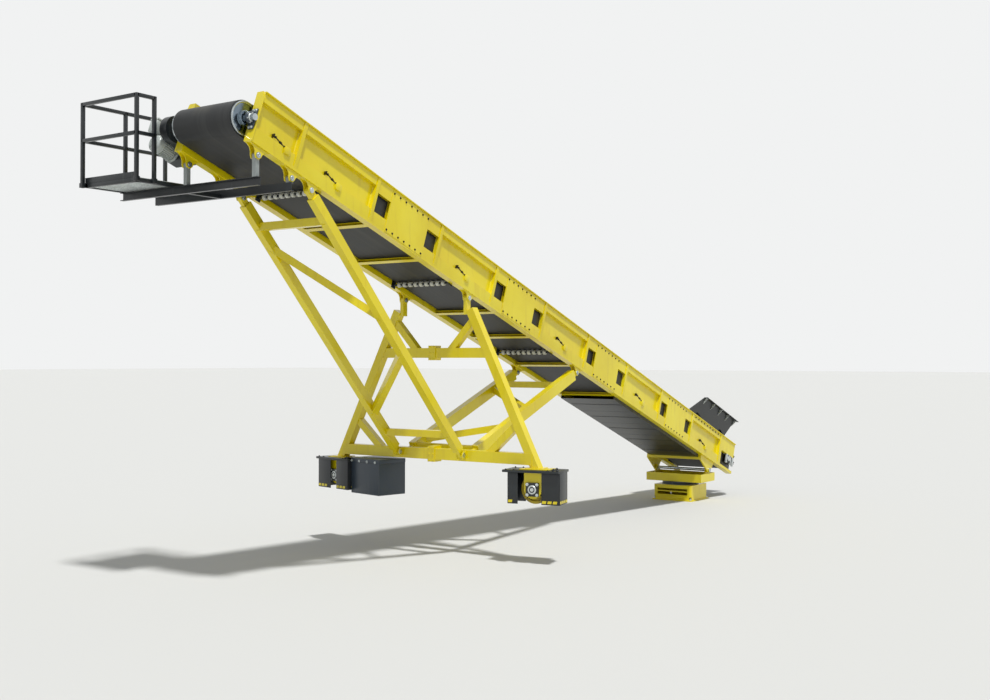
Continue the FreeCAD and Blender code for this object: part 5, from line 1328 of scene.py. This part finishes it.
@dataclass
class Base(Assembly):
    """Anchor nuts, ring bolts, grease nipples and shaft keepers of the pedestal and the turntable."""

    anchors: tuple[Span, Span] = ((-382, 382), (-412, 412))
    base_top: float = 25.0
    ring_face: float = 379.0
    ring_middle: float = 356.0
    ring_bolts: float = 262.0
    tray_floor: float = 415.0
    ear_face: float = 590.0
    keeper: Box = ((-52, 52), (0, 9), (-52, -34))
    keeper_bolts: tuple[Point, Point] = ((-38, 9, -43), (38, 9, -43))

    def build(self) -> None:
        """Makes the fittings of the pedestal and the turntable."""
        anchors, nipples, ring, keepers = Form(), Form(), Form(), Form()
        for x, y in product(*self.anchors):
            anchors.disc((x, y, self.base_top), Facing.UP, 26, 4, 16)
            anchors.disc((x, y, self.base_top + 4), Facing.UP, 21, 18, 6)
            anchors.disc((x, y, self.base_top + 22), Facing.UP, 12, 16, 12, top=11)
        for facing in (Facing.HEAD, Facing.TAIL, Facing.NEAR, Facing.FAR):
            at = Vector(facing.value) * self.ring_face + Vector((0, 0, self.ring_middle))
            nipples.nipple(at, facing, 12)
        ring.bolts(ring_of(20, self.ring_bolts, (0, 0, self.tray_floor), Plane.TOP), Facing.UP, 22)
        hinge = Vector((self.machine.hinge_x, self.ear_face, self.machine.hinge_height))
        keepers.block(*self.keeper, edge=2, at=hinge)
        keepers.bolts([hinge + Vector(place) for place in self.keeper_bolts], Facing.NEAR, 14)
        level = self.machine.level
        self.show(anchors, "anchor_nuts", ZINC, level, "pedestal")
        self.show(nipples, "ring_grease_nipples", BRIGHT, level, "pedestal")
        self.show(ring, "ring_bolts", ZINC, level, "turntable")
        self.show(keepers, "hinge_shaft_keepers", ZINC, level, "turntable", mirrored=True)


# Studio


@dataclass
class Studio:
    """Floor, soft light and the camera at the photograph's angle."""

    camera_at: Point = (22.816, 10.906, 2.937)
    heading: float = -145.466
    pitch: float = 0.497
    roll: float = 0.09
    lens: float = 42.65
    sun_way: Point = (-0.22, -0.34, -1.0)
    sun_power: float = 3.0
    sun_width: float = 4.0
    sky: str = "#E9ECEE"
    sky_strength: float = 0.45
    backdrop: str = "#F1F2F2"
    floor: str = "#D0D0CD"
    floor_half: float = 300.0
    floor_roughness: float = 0.9
    sensor: float = 36.0
    clip: Span = (0.1, 1000.0)

    def build(self) -> None:
        """Makes the floor, the lamp, the world and the camera."""
        self._floor()
        self._light()
        self._camera()

    def _floor(self) -> None:
        """Adds a wide pale floor at the pedestal's underside."""
        bm = bmesh.new()
        bmesh.ops.create_grid(bm, x_segments=1, y_segments=1, size=self.floor_half)
        mesh = bpy.data.meshes.new("floor")
        bm.to_mesh(mesh)
        bm.free()
        floor = bpy.data.objects.new("floor", mesh)
        bpy.context.scene.collection.objects.link(floor)
        material = bpy.data.materials.new("pale_studio_floor")
        material.use_nodes = True
        shader = material.node_tree.nodes["Principled BSDF"]
        shader.inputs["Base Color"].default_value = linear(self.floor)
        shader.inputs["Roughness"].default_value = self.floor_roughness
        mesh.materials.append(material)

    def _light(self) -> None:
        """Adds an even world, seen paler by the camera and in reflections, and one broad sun."""
        world = bpy.data.worlds.new("soft_studio")
        world.use_nodes = True
        tree = world.node_tree
        tree.nodes.clear()
        lights = {"Color": linear(self.sky), "Strength": self.sky_strength}
        light = add_node(tree, "ShaderNodeBackground", sockets=lights)
        pale = add_node(tree, "ShaderNodeBackground", sockets={"Color": linear(self.backdrop), "Strength": 1.0})
        rays = add_node(tree, "ShaderNodeLightPath").outputs
        seen = rays["Is Camera Ray"]
        for other in ("Is Glossy Ray", "Is Transmission Ray"):
            seen = add_node(tree, "ShaderNodeMath", {"operation": "MAXIMUM"}, {0: seen, 1: rays[other]}).outputs[0]
        chosen = {0: seen, 1: light.outputs[0], 2: pale.outputs[0]}
        either = add_node(tree, "ShaderNodeMixShader", sockets=chosen)
        add_node(tree, "ShaderNodeOutputWorld", sockets={"Surface": either.outputs[0]})
        bpy.context.scene.world = world
        sun = bpy.data.lights.new("soft_sun", "SUN")
        sun.energy = self.sun_power
        sun.angle = math.radians(self.sun_width)
        lamp = bpy.data.objects.new("soft_sun", sun)
        lamp.rotation_mode = "QUATERNION"
        lamp.rotation_quaternion = Vector(self.sun_way).to_track_quat("-Z", "Y")
        bpy.context.scene.collection.objects.link(lamp)

    def _camera(self) -> None:
        """Adds the camera where the photographer stood."""
        data = bpy.data.cameras.new("camera")
        data.lens = self.lens
        data.sensor_width = self.sensor
        data.clip_start, data.clip_end = self.clip
        camera = bpy.data.objects.new("camera", data)
        camera.location = self.camera_at
        h, p = math.radians(self.heading), math.radians(self.pitch)
        look = Vector((math.cos(p) * math.cos(h), math.cos(p) * math.sin(h), math.sin(p)))
        turn = look.to_track_quat("-Z", "Y").to_matrix() @ Matrix.Rotation(math.radians(self.roll), 3, "Z")
        camera.rotation_mode = "QUATERNION"
        camera.rotation_quaternion = turn.to_quaternion()
        bpy.context.scene.collection.objects.link(camera)
        bpy.context.scene.camera = camera


def main() -> None:
    """Builds everything in order."""
    logging.basicConfig(level=logging.INFO, format="%(name)s: %(message)s")
    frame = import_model()
    bpy.context.scene.view_settings.view_transform = "Standard"
    Studio().build()
    dress_nodes(frame["nodes"])
    machine = Machine()
    kinds = (Base, Girders, ReturnIdlers, Pulleys, TakeUp, BeltDrive, Hopper, Trestle)
    bogies = (Bogie(machine, Side.NEAR), Bogie(machine, Side.FAR))
    for assembly in (*(kind(machine) for kind in kinds), *bogies, DriveBox(machine), Platform(machine)):
        LOG.info("building %s", type(assembly).__name__)
        assembly.build()
    bpy.context.view_layer.update()


if __name__ == "__main__":
    main()
